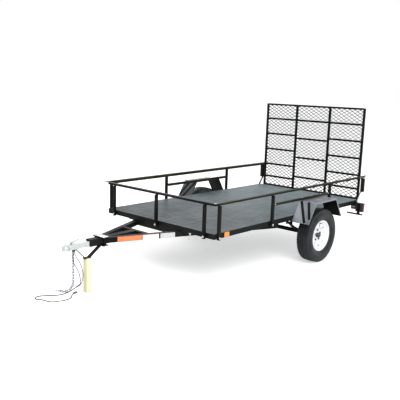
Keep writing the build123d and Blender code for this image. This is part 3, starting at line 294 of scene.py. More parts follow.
def noise(tree: bpy.types.NodeTree, scale: Any, detail: float, stretch: Point = (1, 1, 1)) -> Any:
    """Adds noise on Object coordinates.

    Args:
        tree: The node tree that gets it.
        scale: Cells per metre, or the output that sets it.
        detail: Octaves of detail.
        stretch: Scale along each axis.

    Returns:
        The noise, from 0 to 1.
    """
    mapping = new_node(tree, "ShaderNodeMapping", {"Vector": object_place(tree), "Scale": stretch})
    inputs = {"Vector": mapping.outputs["Vector"], "Scale": scale, "Detail": detail}
    return new_node(tree, "ShaderNodeTexNoise", inputs).outputs["Fac"]


def ranged(tree: bpy.types.NodeTree, value: Any, low: float, high: float, to: tuple[Any, Any]) -> Any:
    """Adds a Map Range node from one span to another and returns its output.

    Args:
        tree: The node tree.
        value: The socket or number that is mapped.
        low: The start of its own span.
        high: The end of its own span.
        to: The span that it is mapped to.

    Returns:
        The node's output socket.
    """
    inputs = {"Value": value, "From Min": low, "From Max": high, "To Min": to[0], "To Max": to[1]}
    return new_node(tree, "ShaderNodeMapRange", inputs).outputs["Result"]


def maths(tree: bpy.types.NodeTree, operation: str, first: Any, second: Any) -> Any:
    """Adds a Math node on two values and returns its output."""
    return new_node(tree, "ShaderNodeMath", {0: first, 1: second}, operation=operation).outputs["Value"]


class Pattern(Enum):
    """The shared effect that a finish is built on."""

    COATING = "coating"
    STREAKS = "streaks"
    SPANGLE = "spangle"
    GRAIN = "grain"


class Effect:
    """A shader node group that several finishes use, built once. All its outputs vary over the surface."""

    INPUTS = {"Colour": WHITE, "Film": WHITE, "Scale": 8.0, "Gloss low": 0.4, "Gloss high": 0.6}
    OUTPUTS = {"Colour": "NodeSocketColor", "Roughness": "NodeSocketFloat", "Height": "NodeSocketFloat"}
    built: dict[Pattern, bpy.types.NodeTree] = {}

    def __init__(self, pattern: Pattern) -> None:
        """Makes the group.

        Args:
            pattern: The effect that its inner nodes make.
        """
        self.tree = bpy.data.node_groups.new(pattern.value, "ShaderNodeTree")
        for label, value in self.INPUTS.items():
            kind = "NodeSocketColor" if isinstance(value, tuple) else "NodeSocketFloat"
            self.tree.interface.new_socket(label, in_out="INPUT", socket_type=kind).default_value = value
        for label, kind in self.OUTPUTS.items():
            self.tree.interface.new_socket(label, in_out="OUTPUT", socket_type=kind)
        self.source = self.tree.nodes.new("NodeGroupInput").outputs
        self.sink = self.tree.nodes.new("NodeGroupOutput").inputs
        getattr(self, pattern.value)()

    @classmethod
    def group(cls, pattern: Pattern) -> bpy.types.NodeTree:
        """Returns an effect's node group, and makes it on first use.

        Args:
            pattern: The effect's pattern.

        Returns:
            The node group.
        """
        if pattern not in cls.built:
            cls.built[pattern] = cls(pattern).tree
        return cls.built[pattern]

    def settle(self, mask: Any, height: Any) -> None:
        """Gives the group its outputs.

        Args:
            mask: Where the film covers the colour, from 0 to 1. The gloss follows it.
            height: The relief.
        """
        blend = new_node(self.tree, "ShaderNodeMix", {
            "Factor": mask, "A": self.source["Colour"], "B": self.source["Film"],
        }, data_type="RGBA")
        gloss = ranged(self.tree, mask, 0.0, 1.0, (self.source["Gloss low"], self.source["Gloss high"]))
        for label, value in (("Colour", blend.outputs["Result"]), ("Roughness", gloss), ("Height", height)):
            self.tree.links.new(value, self.sink[label])

    def coating(self) -> None:
        """Clouded colour with a fine grain in its relief."""
        grain_scale = 22.0
        finer = maths(self.tree, "MULTIPLY", self.source["Scale"], grain_scale)
        clouds = noise(self.tree, self.source["Scale"], 3.0)
        self.settle(ranged(self.tree, clouds, 0.35, 0.68, (0.0, 1.0)), noise(self.tree, finer, 5.0))

    def streaks(self) -> None:
        """Long fine lines both ways, patches, and a painted sheen that lightens the colour rearwards."""
        place_node = new_node(self.tree, "ShaderNodeSeparateXYZ", {"Vector": object_place(self.tree)})
        sheen_along_x = place_node.outputs["X"]
        shares = [
            ranged(self.tree, value, low, high, (0.0, most)) for value, low, high, most in (
                (noise(self.tree, 1.0, 5.0, (5.0, 34.0, 34.0)), 0.36, 0.66, 0.2),
                (noise(self.tree, 1.0, 3.0, (26.0, 4.0, 26.0)), 0.42, 0.6, 0.12),
                (noise(self.tree, 2.2, 3.0), 0.38, 0.62, 0.12),
                # Painted sheen: this share lightens the colour towards the rear, where the deck reflects more
                # light.
                (sheen_along_x, -0.6, 1.5, 0.56),
            )
        ]
        mask = shares[0]
        for share in shares[1:]:
            mask = maths(self.tree, "ADD", mask, share)
        self.settle(mask, shares[0])

    def spangle(self) -> None:
        """The leaf-like crystals of a zinc coat."""
        cells = new_node(self.tree, "ShaderNodeTexVoronoi", {
            "Vector": object_place(self.tree), "Scale": self.source["Scale"],
        })
        colour = new_node(self.tree, "ShaderNodeSeparateColor", {"Color": cells.outputs["Color"]})
        shade = colour.outputs["Red"]
        self.settle(shade, shade)

    def grain(self) -> None:
        """Wood grain that runs up the post."""
        rings = noise(self.tree, 1.0, 5.0, (60.0, 60.0, 3.0))
        fibre = noise(self.tree, 1.0, 2.0, (420.0, 420.0, 12.0))
        self.settle(ranged(self.tree, rings, 0.35, 0.7, (0.0, 1.0)), fibre)


@dataclass(frozen=True)
class Finish:
    """One finish: its colours, gloss, relief and the effect that varies them."""

    name: str
    slot: str
    colour: Colour
    film: Colour
    gloss: tuple[float, float]
    pattern: Pattern = Pattern.COATING
    scale: float = 8.0
    relief: float = 0.1
    relief_depth: float = 0.0004
    metallic: float = 0.0
    coat: float = 0.0
    specular: float = 0.5
    glow: float = 0.0

    def material(self) -> bpy.types.Material:
        """Returns the finish's material, and builds it on first use.

        Returns:
            The material.
        """
        name = f"finish_{self.name}"
        known = bpy.data.materials.get(name)
        if known:
            return known
        material = bpy.data.materials.new(name)
        material.use_nodes = True
        tree = material.node_tree
        effect = new_node(tree, "ShaderNodeGroup", {
            "Colour": (*self.colour, 1.0), "Film": (*self.film, 1.0), "Scale": self.scale,
            "Gloss low": self.gloss[0], "Gloss high": self.gloss[1],
        }, node_tree=Effect.group(self.pattern)).outputs
        bump = new_node(tree, "ShaderNodeBump", {
            "Strength": self.relief, "Distance": self.relief_depth, "Height": effect["Height"],
        })
        shader = tree.nodes["Principled BSDF"].inputs
        links = {"Base Color": effect["Colour"], "Roughness": effect["Roughness"],
                 "Normal": bump.outputs["Normal"]}
        values = {"Metallic": self.metallic, "Coat Weight": self.coat, "Specular IOR Level": self.specular}
        if self.glow:
            links["Emission Color"] = effect["Colour"]
            values["Emission Strength"] = self.glow
        for label, output in links.items():
            tree.links.new(output, shader[label])
        for label, value in values.items():
            shader[label].default_value = value
        return material

    def dress(self, obj: bpy.types.Object) -> None:
        """Gives the finish to a piece or a CAD node."""
        obj.data.materials.clear()
        obj.data.materials.append(self.material())


BLACK = Finish("satin_black", "black_paint", (0.004, 0.005, 0.005), (0.012, 0.013, 0.012), (0.38, 0.54),
               scale=5.0, relief=0.12, specular=0.1)
RAIL_BLACK = Finish("rail_black", "black_paint", (0.008, 0.009, 0.004), (0.03, 0.031, 0.01), (0.38, 0.52),
                    scale=6.0, relief=0.12, specular=0.12)
# Painted light: both fenders have the same dark paint; the near fender's copy is painted lighter and the far
# fender's copy darker for how light falls on them.
FENDER_PAINTED_SHADE = Finish("fender_far_painted_shade", "black_paint", (0.035, 0.042, 0.048), (0.085, 0.095, 0.105), (0.3, 0.44),
                     scale=3.0, relief=0.08, metallic=0.2, coat=0.2)
FENDER_PAINTED_LIGHT = Finish("fender_near_painted_light", "black_paint", (0.15, 0.165, 0.19), (0.33, 0.35, 0.39), (0.28, 0.42),
                      scale=3.0, relief=0.08, metallic=0.2, coat=0.3)
DECK = Finish("deck_paint", "deck_paint", (0.011, 0.016, 0.019), (0.255, 0.305, 0.33), (0.38, 0.54),
              Pattern.STREAKS, relief=0.12, relief_depth=0.0005, specular=0.06)
ZINC = Finish("zinc_plate", "zinc", (0.5, 0.55, 0.54), (0.76, 0.8, 0.79), (0.24, 0.42), Pattern.SPANGLE,
              scale=160.0, relief=0.05, metallic=0.85)
BOLT = Finish("bolt_zinc", "zinc", (0.62, 0.64, 0.6), (0.82, 0.83, 0.79), (0.22, 0.34), Pattern.SPANGLE,
              scale=300.0, relief=0.04, metallic=0.8)
CHAIN = Finish("chain_zinc", "zinc", (0.2, 0.225, 0.28), (0.42, 0.45, 0.52), (0.28, 0.42), scale=60.0,
               relief=0.1, metallic=0.7)
RUBBER = Finish("tyre_rubber", "tyre_rubber", (0.008, 0.01, 0.011), (0.024, 0.03, 0.033), (0.36, 0.52),
                scale=14.0, relief=0.25, specular=0.32)
# Painted light: the rim's glow makes it emit, so that the white rim stays bright in shade.
RIM = Finish("rim_white", "rim_white", (0.86, 0.88, 0.92), (0.93, 0.94, 0.96), (0.2, 0.3), scale=6.0,
             relief=0.04, coat=0.4, glow=0.05)
HUB = Finish("hub_grey", "hub_grey", (0.04, 0.042, 0.046), (0.09, 0.09, 0.1), (0.35, 0.5), scale=30.0,
             relief=0.2, metallic=0.3)
RED = Finish("lamp_red", "lamp_red", (0.55, 0.012, 0.03), (0.68, 0.03, 0.06), (0.1, 0.18), scale=40.0,
             relief=0.05, coat=0.6, glow=0.12)
AMBER = Finish("lamp_amber", "lamp_amber", (0.9, 0.2, 0.01), (0.95, 0.32, 0.03), (0.1, 0.18), scale=40.0,
               relief=0.05, coat=0.6, glow=0.2)
HOUSING = Finish("lamp_housing", "black_paint", (0.012, 0.012, 0.013), (0.03, 0.03, 0.032), (0.3, 0.4),
                 scale=50.0, relief=0.1)
WOOD = Finish("pale_wood", "pale_wood", (0.86, 0.83, 0.62), (0.76, 0.72, 0.48), (0.6, 0.78), Pattern.GRAIN,
              relief=0.4, relief_depth=0.0006)
CORD = Finish("cord_black", "cord_black", (0.006, 0.007, 0.009), (0.02, 0.02, 0.024), (0.42, 0.55),
              scale=50.0, relief=0.1, specular=0.3)
PLUG = Finish("plug_grey", "plug_grey", (0.05, 0.055, 0.09), (0.1, 0.11, 0.16), (0.42, 0.55), scale=80.0,
              relief=0.1)
TAPE = Finish("tape_yellow", "lamp_amber", (0.85, 0.62, 0.05), (0.9, 0.72, 0.12), (0.35, 0.45), scale=80.0,
              relief=0.05)
LABEL_ORANGE = Finish("label_orange", "lamp_amber", (0.85, 0.19, 0.06), (0.92, 0.25, 0.09), (0.3, 0.4),
                      scale=30.0, relief=0.02, coat=0.2)
LABEL_WHITE = Finish("label_white", "rim_white", (0.82, 0.82, 0.82), (0.92, 0.9, 0.9), (0.3, 0.4),
                     scale=30.0, relief=0.02, coat=0.2)
LABEL_PINK = Finish("label_pink", "rim_white", (0.86, 0.5, 0.48), (0.92, 0.62, 0.6), (0.3, 0.4),
                    scale=30.0, relief=0.02, coat=0.2)
LABEL_GREY = Finish("label_grey", "rim_white", (0.5, 0.51, 0.5), (0.66, 0.66, 0.65), (0.35, 0.5),
                    scale=60.0, relief=0.02)

NODE_FINISHES: dict[str, Finish] = {
    "deck_sheet": DECK, "coupler": ZINC, "coupler_lever": ZINC, "wood_block": WOOD,
    "top_rail_left": RAIL_BLACK, "top_rail_right": RAIL_BLACK,
    "mid_rails": RAIL_BLACK, "fender_left": FENDER_PAINTED_LIGHT, "fender_right": FENDER_PAINTED_SHADE,
    "tyre_left": RUBBER, "tyre_right": RUBBER, "rim_left": RIM, "rim_right": RIM, "hub_left": HUB,
    "hub_right": HUB, "tail_lamps": RED, "marker_lamps": AMBER, "safety_chain": CHAIN,
    "harness_clip": CORD, "harness_leg_front": CORD, "harness_leg_rear": CORD, "harness_junction": CORD,
    "harness_trunk": CORD, "harness_plug": PLUG,
}


def hand_over(piece: bpy.types.Object, finish: Finish, body: str = BODY) -> bpy.types.Object:
    """Finishes a piece and rides it on a body.

    Args:
        piece: The new piece.
        finish: The finish that it takes.
        body: The CAD body that it moves with.

    Returns:
        The piece.
    """
    finish.dress(piece)
    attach(piece, body)
    LOG.info("%s rides on %s", piece.name, body)
    return piece


def make(
    name: str, bm: bmesh.types.BMesh, finish: Finish, body: str = BODY, smooth_angle: float = 35.0
) -> bpy.types.Object:
    """Turns a bmesh into a finished piece that rides on a body.

    Args:
        name: The piece's name.
        bm: The shape, which is freed.
        finish: The finish that it takes.
        body: The CAD body that it moves with.
        smooth_angle: Edges flatter than this are shaded smooth, in degrees.

    Returns:
        The piece.
    """
    return hand_over(mesh_piece(name, bm, smooth_angle), finish, body)


def make_bolts(name: str, bolts: Sequence[Bolt]) -> None:
    """Makes plated bolts as one piece.

    Args:
        name: The piece's name.
        bolts: Each bolt's foot, the way out of its surface and its thread diameter.
    """
    bm = bmesh.new()
    for at, normal, size in bolts:
        add_bolt(bm, at, normal, size)
    make(name, bm, BOLT)


def node_corners(node: str) -> tuple[Vector, Vector]:
    """Lowest and highest corner of a CAD node."""
    low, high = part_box(node)
    return Vector(low), Vector(high)


# ---- Studio ---------------------------------------------------------------------------------------
@dataclass
class Studio:
    """The floor, the soft light and the camera."""

    camera_at: Point = (-4.9185, -4.2287, 1.8939)
    yaw: float = 42.133
    pitch: float = 10.888
    roll: float = 1.846
    lens: float = 53.43
    sensor: float = 36.0
    floor_half: float = 60.0
    floor_shade: float = 0.95
    floor_glow: float = 0.5
    sky: float = 0.7
    lamp_size: float = 4.0
    lamps: tuple[tuple[str, Point, float], ...] = (
        ("key", (-3.0, -4.5, 5.0), 330.0), ("fill", (3.5, 4.0, 4.5), 90.0),
    )
    lamps_aim: Point = (0, 0, 0.5)

    def camera(self) -> None:
        """Makes the camera and gives it to the scene."""
        yaw, pitch, roll = (math.radians(value) for value in (self.yaw, self.pitch, self.roll))
        ahead = Vector((math.cos(pitch) * math.cos(yaw), math.cos(pitch) * math.sin(yaw), -math.sin(pitch)))
        level = ahead.cross(Vector((0, 0, 1))).normalized()
        upright = level.cross(ahead)
        right = level * math.cos(roll) + upright * math.sin(roll)
        up = upright * math.cos(roll) - level * math.sin(roll)
        data = bpy.data.cameras.new("camera")
        data.lens = self.lens
        data.sensor_width = self.sensor
        data.clip_end = 200.0
        view = place(bpy.data.objects.new("camera", data))
        turn = Matrix((right, up, -ahead)).transposed().to_4x4()
        view.matrix_world = Matrix.Translation(self.camera_at) @ turn
        bpy.context.scene.camera = view

    def world(self) -> None:
        """Makes the pale sky, which is plain white to the camera, to reflections and through glass."""
        world = bpy.data.worlds.new("sky")
        bpy.context.scene.world = world
        world.use_nodes = True
        tree = world.node_tree
        sky = tree.nodes["Background"]
        sky.inputs["Color"].default_value = WHITE
        sky.inputs["Strength"].default_value = self.sky
        rays = tree.nodes.new("ShaderNodeLightPath").outputs
        seen = rays["Is Camera Ray"]
        for ray in ("Is Glossy Ray", "Is Transmission Ray"):
            seen = maths(tree, "MAXIMUM", seen, rays[ray])
        white = new_node(tree, "ShaderNodeBackground", {"Color": WHITE, "Strength": 1.0})
        shown = new_node(tree, "ShaderNodeMixShader", {
            0: seen, 1: sky.outputs["Background"], 2: white.outputs["Background"],
        })
        tree.links.new(shown.outputs["Shader"], tree.nodes["World Output"].inputs["Surface"])

    def floor(self) -> None:
        """Makes the pale floor, which keeps the object's shadow."""
        bm = bmesh.new()
        bmesh.ops.create_grid(bm, x_segments=1, y_segments=1, size=self.floor_half)
        floor = mesh_piece("floor", bm, 35.0)
        material = bpy.data.materials.new("floor")
        material.use_nodes = True
        tree = material.node_tree
        shader = tree.nodes["Principled BSDF"].inputs
        shader["Roughness"].default_value = 1.0
        shader["Base Color"].default_value = (self.floor_shade,) * 3 + (1,)
        shader["Emission Color"].default_value = WHITE
        path = tree.nodes.new("ShaderNodeLightPath")
        glow = ranged(tree, path.outputs["Is Camera Ray"], 0.0, 1.0, (0.0, self.floor_glow))
        tree.links.new(glow, shader["Emission Strength"])
        floor.data.materials.append(material)

    def build(self) -> None:
        """Makes the whole studio, with its square soft lights."""
        self.camera()
        self.world()
        self.floor()
        for name, at, power in self.lamps:
            data = bpy.data.lights.new(name, "AREA")
            data.size = self.lamp_size
            data.energy = power
            light = place(bpy.data.objects.new(name, data))
            light.location = at
            light.rotation_euler = (Vector(self.lamps_aim) - Vector(at)).to_track_quat("-Z", "Y").to_euler()
        bpy.context.scene.view_settings.view_transform = "Standard"


# ---- Wiring ---------------------------------------------------------------------------------------
@dataclass
class Wiring:
    """The flat four-way lead: two legs from its clip, a junction, and the trunk on the floor."""

    leg_diameter: float = 0.0065
    trunk_diameter: float = 0.0085
    floor_line: float = 0.0044
    clip_bottom: float = 0.423
    junction: Point = (-1.831, 0.008, 0.084)
    axis: Vector = field(default_factory=lambda: Vector((0, 0.83, -0.5578)).normalized())
    junction_length: float = 0.036
    spread: float = 0.0055
    leg_lead: float = 0.04
    trunk_lead: float = 0.03
    tape_at: tuple[float, float] = (-2.068, -0.036)
    tape_reach: int = 3
    tape_rise: float = 0.0006

    def front_leg(self) -> list[Vector]:
        """Route of the leg that hangs in front.

        Returns:
            Its points, from the clip to the junction.
        """
        end = Vector(self.junction) - Vector((self.spread, 0, 0))
        hang = [(-1.908, -0.014, self.clip_bottom), (-1.908, -0.014, 0.398), (-1.918, -0.019, 0.358),
                (-1.908, -0.023, 0.312), (-1.886, -0.026, 0.272), (-1.86, -0.027, 0.225),
                (-1.842, -0.025, 0.168)]
        return [*map(Vector, hang), end - self.axis * self.leg_lead, end]

    def rear_leg(self) -> list[Vector]:
        """Route of the leg that hangs behind.

        Returns:
            Its points, from the clip to the junction.
        """
        end = Vector(self.junction) + Vector((self.spread, 0, 0))
        hang = [(-1.893, -0.014, self.clip_bottom), (-1.893, -0.014, 0.396), (-1.876, -0.019, 0.358),
                (-1.846, -0.023, 0.312), (-1.818, -0.026, 0.245), (-1.811, -0.027, 0.176)]
        return [*map(Vector, hang), end - self.axis * self.leg_lead, end]

    def trunk(self) -> list[Vector]:
        """Route of the trunk: down to the floor, out in a loop and back to its plug.

        Returns:
            Its points, from the junction to the plug.
        """
        start = Vector(self.junction) + self.axis * self.junction_length
        drop = [Vector((-1.836, 0.088, 0.027)), Vector((-1.852, 0.106, 0.011))]
        flat = [(-1.884, 0.108), (-1.945, 0.09), (-2.001, 0.107), (-2.05, 0.142), (-2.091, 0.175),
                (-2.136, 0.2), (-2.182, 0.18), (-2.193, 0.143), (-2.164, 0.109), (-2.152, 0.065),
                (-2.147, 0.027), (-2.127, -0.005), (-2.09, -0.028), (-2.046, -0.042), (-1.999, -0.046),
                (-1.955, -0.036), (-1.918, -0.005), (-1.892, 0.036), (-1.858, 0.047)]
        return [start, start + self.axis * self.trunk_lead, *drop,
                *(Vector((x, y, self.floor_line)) for x, y in flat)]

    def line(self, name: str, route: Sequence[Vector], diameter: float, kind: str = "NURBS") -> Any:
        """Makes a cord as one smooth curve.

        Args:
            name: The piece's name.
            route: Its control points.
            diameter: Its thickness.
            kind: The spline's type.

        Returns:
            The curve object.
        """
        curve = bpy.data.curves.new(name, "CURVE")
        curve.dimensions = "3D"
        curve.bevel_depth = diameter / 2
        curve.bevel_resolution = 4
        curve.use_fill_caps = True
        curve.resolution_u = 12
        spline = curve.splines.new(kind)
        spline.points.add(len(route) - 1)
        for point, at in zip(spline.points, route):
            point.co = (*at, 1.0)
        if kind == "NURBS":
            spline.order_u = 3
            spline.use_endpoint_u = True
        return place(bpy.data.objects.new(name, curve))

    def tape(self) -> bpy.types.Object:
        """Makes the yellow band that marks the trunk's loop, along the trunk's own curve.

        Returns:
            The piece.
        """
        bare = self.line("bare", self.trunk(), 0.0)
        mesh = bpy.data.meshes.new_from_object(bare.evaluated_get(bpy.context.evaluated_depsgraph_get()))
        points = [vert.co.copy() for vert in mesh.vertices]
        bpy.data.objects.remove(bare)
        bpy.data.meshes.remove(mesh)
        target = Vector((*self.tape_at, self.floor_line))
        nearest = min(range(len(points)), key=lambda index: (points[index] - target).length)
        band = points[nearest - self.tape_reach:nearest + self.tape_reach + 1]
        return self.line("tape", [at + UP * self.tape_rise for at in band], self.trunk_diameter, "POLY")

    def build(self) -> None:
        """Makes the legs, the trunk and the band on it; the legs and the trunk take the place of their CAD
        nodes.
        """
        rows = {
            "harness_leg_front": (self.front_leg(), self.leg_diameter, 0.368),
            "harness_leg_rear": (self.rear_leg(), self.leg_diameter, 0.37),
        }
        for name, (route, diameter, length) in rows.items():
            piece = self.line(f"{name}_lead", route, diameter)
            hand_over(piece, CORD)
            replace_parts(piece, name)
        route = self.trunk()
        piece = self.line("harness_trunk_lead", route, self.trunk_diameter)
        hand_over(piece, CORD)
        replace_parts(piece, "harness_trunk")
        hand_over(self.tape(), TAPE)


# ---- Safety chain ---------------------------------------------------------------------------------
@dataclass
class Chain:
    """Round links on the CAD chain's own line, from the eye on the coupler to the hook on the floor."""

    wire: float = 0.006
    inner_length: float = 0.03
    inner_width: float = 0.011
    slack: float = 0.003
    bend_slack: float = 0.0052
    bend_radius: float = 0.125
    floor_length: float = 0.012
    heading: float = 110.7
    at: tuple[float, float] = (-1.875, 0.033)
    eye_height: float = 0.449
    eye_root: float = 0.025
    hook_radius: float = 0.013
    hook_turn: float = -250.0

    def __post_init__(self) -> None:
        """Works out the line's heights, its way along the floor and how far it hangs."""
        turn = math.radians(self.heading)
        self.ahead = Vector((math.cos(turn), math.sin(turn), 0))
        self.top = self.eye_height - self.inner_length / 2 + self.inner_width / 2
        self.rest = self.inner_width / 2 + self.wire
        self.hang = self.top - self.rest - self.bend_radius
        self.bend_end = self.hang + self.bend_radius * math.pi / 2

    def line_at(self, distance: float) -> tuple[Vector, Vector]:
        """Point and direction of the chain's line at a distance below its first link.

        Args:
            distance: Distance along the line, in metres.

        Returns:
            The point and the direction.
        """
        foot = Vector((*self.at, 0))
        if distance <= self.hang:
            return foot + UP * (self.top - distance), -UP
        if distance <= self.bend_end:
            turn = (distance - self.hang) / self.bend_radius
            across = self.bend_radius * (1 - math.cos(turn))
            height = self.rest + self.bend_radius * (1 - math.sin(turn))
            direction = self.ahead * math.sin(turn) - UP * math.cos(turn)
            return foot + self.ahead * across + UP * height, direction
        across = self.bend_radius + distance - self.bend_end
        return foot + self.ahead * across + UP * self.rest, self.ahead

    def link_frame(self, distance: float, index: int) -> Matrix:
        """Matrix of one link; every second link is turned a quarter turn.

        Args:
            distance: The link's distance along the line.
            index: The link's number.

        Returns:
            The link's place.
        """
        at, direction = self.line_at(distance)
        side = Vector((-self.ahead.y, self.ahead.x, 0))
        axis = side if index % 2 else direction.cross(side)
        return Matrix.Translation(at) @ axes(direction, axis.cross(direction), axis)

    def link(self, frame_at: Matrix) -> bmesh.types.BMesh:
        """Makes one round-wire link: a ring of wire spun round each end and drawn along each side.

        Args:
            frame_at: Matrix whose X is the link's length and Z its axis.

        Returns:
            The link.
        """
        bm = bmesh.new()
        half = (self.inner_length - self.inner_width) / 2
        reach = (self.inner_width + self.wire) / 2
        ring = bmesh.ops.create_circle(bm, cap_ends=False, segments=8, radius=self.wire / 2)["verts"]
        move(bm, ring, Matrix.Translation((half, -reach, 0)) @ Matrix.Rotation(math.pi / 2, 4, "Y"))
        last = list({edge for vert in ring for edge in vert.link_edges})
        for sign in (1, -1):
            turned = bmesh.ops.spin(bm, geom=last, cent=(sign * half, 0, 0), axis=UP, angle=math.pi,
                                    steps=7, dvec=STILL, use_merge=False)["geom_last"]
            drawn = bmesh.ops.extrude_edge_only(bm, edges=only(turned, bmesh.types.BMEdge))["geom"]
            bmesh.ops.translate(bm, vec=(-sign * 2 * half, 0, 0), verts=only(drawn, bmesh.types.BMVert))
            last = only(drawn, bmesh.types.BMEdge)
        bmesh.ops.remove_doubles(bm, verts=bm.verts, dist=1e-5)
        move(bm, bm.verts, frame_at)
        return bm

    def hook(self, frame_at: Matrix) -> bmesh.types.BMesh:
        """Makes the open hook beyond the last link.

        Args:
            frame_at: The last link's place.

        Returns:
            The hook's shape.
        """
        bm = bmesh.new()
        start = self.inner_length / 2 + self.wire / 2
        ring = bmesh.ops.create_circle(bm, cap_ends=True, segments=8, radius=self.wire / 2)["verts"]
        move(bm, ring, Matrix.Translation((start, 0, 0)) @ Matrix.Rotation(math.pi / 2, 4, "X"))
        bmesh.ops.spin(bm, geom=list(bm.faces), cent=(start + self.hook_radius, 0, 0), axis=UP,
                       angle=math.radians(self.hook_turn), steps=20, dvec=STILL)
        move(bm, bm.verts, frame_at)
        return bm

    def build(self) -> None:
        """Makes every link with the last link's hook as one piece, and the eye bolt that they hang on."""
        bm = bmesh.new()
        full = self.bend_end + self.floor_length
        travelled, index = 0.0, 0
        while True:
            frame_at = self.link_frame(travelled, index)
            join(bm, self.link(frame_at))
            if travelled >= full:
                break
            travelled += self.inner_length - (self.slack if travelled < self.hang else self.bend_slack)
            index += 1
        join(bm, self.hook(frame_at))
        links = make("chain_links", outward(bm), CHAIN, smooth_angle=50.0)
        eye = bmesh.new()
        root, out = Vector((self.at[0], self.eye_root, self.eye_height)), Side.RIGHT.out
        shank = 0.0155
        add_cylinder(eye, root, out, 0.004, shank)
        add_cylinder(eye, root + out * shank, out, 0.0065, 0.003)
        make("chain_eye", eye, BOLT)
        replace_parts(links, "safety_chain")


# ---- Ramp gate ------------------------------------------------------------------------------------
@dataclass
class GateMesh:
    """The gate's expanded metal at its real pitch: zigzag strands that lean and meet at their bonds."""

    long_way: float = 0.0745
    short_way: float = 0.0424
    strand: float = 0.0086
    sheet: float = 0.0016

    def build(self) -> None:
        """Makes the mesh in the place of the coarse CAD sheet."""
        low, high = node_corners("gate_mesh")
        steps = 2 * round((high.y - low.y) / self.long_way)
        rows = round((high.z - low.z - self.strand) / (self.short_way / 2))
        rise = (high.z - low.z - self.strand) / rows
        half = self.strand / 2
        # A strand's section leans: its foot is at the sheet's front and its top edge at the back
        section = [(low.x, -half), (low.x + self.sheet, -half), (high.x, half), (high.x - self.sheet, half)]
        bm = bmesh.new()
        for row in range(rows):
            foot = low.z + half + rise * row
            rings = []
            for step in range(steps + 1):
                y = low.y + (high.y - low.y) * step / steps
                z = foot + rise * ((step + row) % 2)
                rings.append([bm.verts.new((x, y, z + up)) for x, up in section])
            for first, second in zip(rings, rings[1:]):
                for index in range(4):
                    after = (index + 1) % 4
                    bm.faces.new((first[index], first[after], second[after], second[index]))
            bm.faces.new(rings[0])
            bm.faces.new(list(reversed(rings[-1])))
        piece = make("gate_expanded_metal", outward(bm), BLACK, "gate", 20.0)
        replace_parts(piece, "gate_mesh")


@dataclass
class GateFrame:
    """The gate's welded tubes at their seen widths, with the arms and knuckles of its hinges."""

    post: float = 0.029
    bar: float = 0.024
    depth: float = 0.018
    room: float = 0.025
    post_proud: float = 0.003
    bottom: float = 0.54
    inner_post: float = 0.25
    outer_bays: tuple[float, ...] = (0.672, 0.846, 1.058, 1.27)
    centre_bays: tuple[float, ...] = (0.713, 0.978, 1.237)
    full_bars: tuple[float, ...] = (1.479, 1.674, 0.55)
    ease: float = 0.0015
    hinge: tuple[float, float] = (1.95, 0.52)
    knuckle: tuple[float, float, float] = (0.0082, 0.014, 0.015)

    def bars(self, bm: bmesh.types.BMesh, low: Vector, high: Vector) -> None:
        """Adds the posts and bars.

        Args:
            bm: The bmesh that gets them.
            low: The CAD frame's lowest corner.
            high: The CAD frame's highest corner.
        """
        back = low.x + self.room
        front = back - self.depth
        inner, outer, half = self.inner_post, high.y - self.post, self.post / 2
        for y_from, y_to in ((low.y, -outer), (-inner - half, -inner + half), (inner - half, inner + half),
                             (outer, high.y)):
            add_box(bm, (front - self.post_proud, y_from, self.bottom), (back, y_to, high.z), self.ease)
        spans = [(side.value * (inner + half), side.value * outer, z)
                 for side in Side for z in self.outer_bays]
        spans += [(-inner + half, inner - half, z) for z in self.centre_bays]
        spans += [(-outer, outer, z) for z in self.full_bars]
        for y_from, y_to, z in spans:
            add_box(bm, (front, y_from, z - self.bar / 2), (back, y_to, z + self.bar / 2), self.ease)

    def hinge_arms(self, bm: bmesh.types.BMesh, low: Vector) -> None:
        """Adds the arm and the knuckle of each hinge.

        Args:
            bm: The frame's mesh.
            low: The frame's lowest corner.
        """
        pin_x, pin_z = self.hinge
        bore, ear, half = self.knuckle
        outline = ((low.x + 0.007, self.bottom), (low.x + self.room, self.bottom),
                   (pin_x + ear / 2, pin_z + ear * 0.87), (pin_x - ear / 2, pin_z + bore + 0.002),
                   (pin_x - ear, pin_z))
        for y in (-HINGE_Y, HINGE_Y):
            faces = [bm.faces.new([bm.verts.new((x, y - half, z)) for x, z in outline])]
            drawn = bmesh.ops.extrude_face_region(bm, geom=faces, use_keep_orig=True)["geom"]
            bmesh.ops.translate(bm, vec=(0, 2 * half, 0), verts=only(drawn, bmesh.types.BMVert))
            section = [(-half, bore), (half, bore), (half, ear), (-half, ear)]
            join(bm, spun(section, (pin_x, y, pin_z), 1, 32))

    def build(self) -> None:
        """Makes the frame in the place of its CAD tubes."""
        low, high = node_corners("gate_frame")
        bm = bmesh.new()
        self.bars(bm, low, high)
        self.hinge_arms(bm, low)
        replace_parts(make("gate_bars", outward(bm), BLACK, "gate"), "gate_frame")


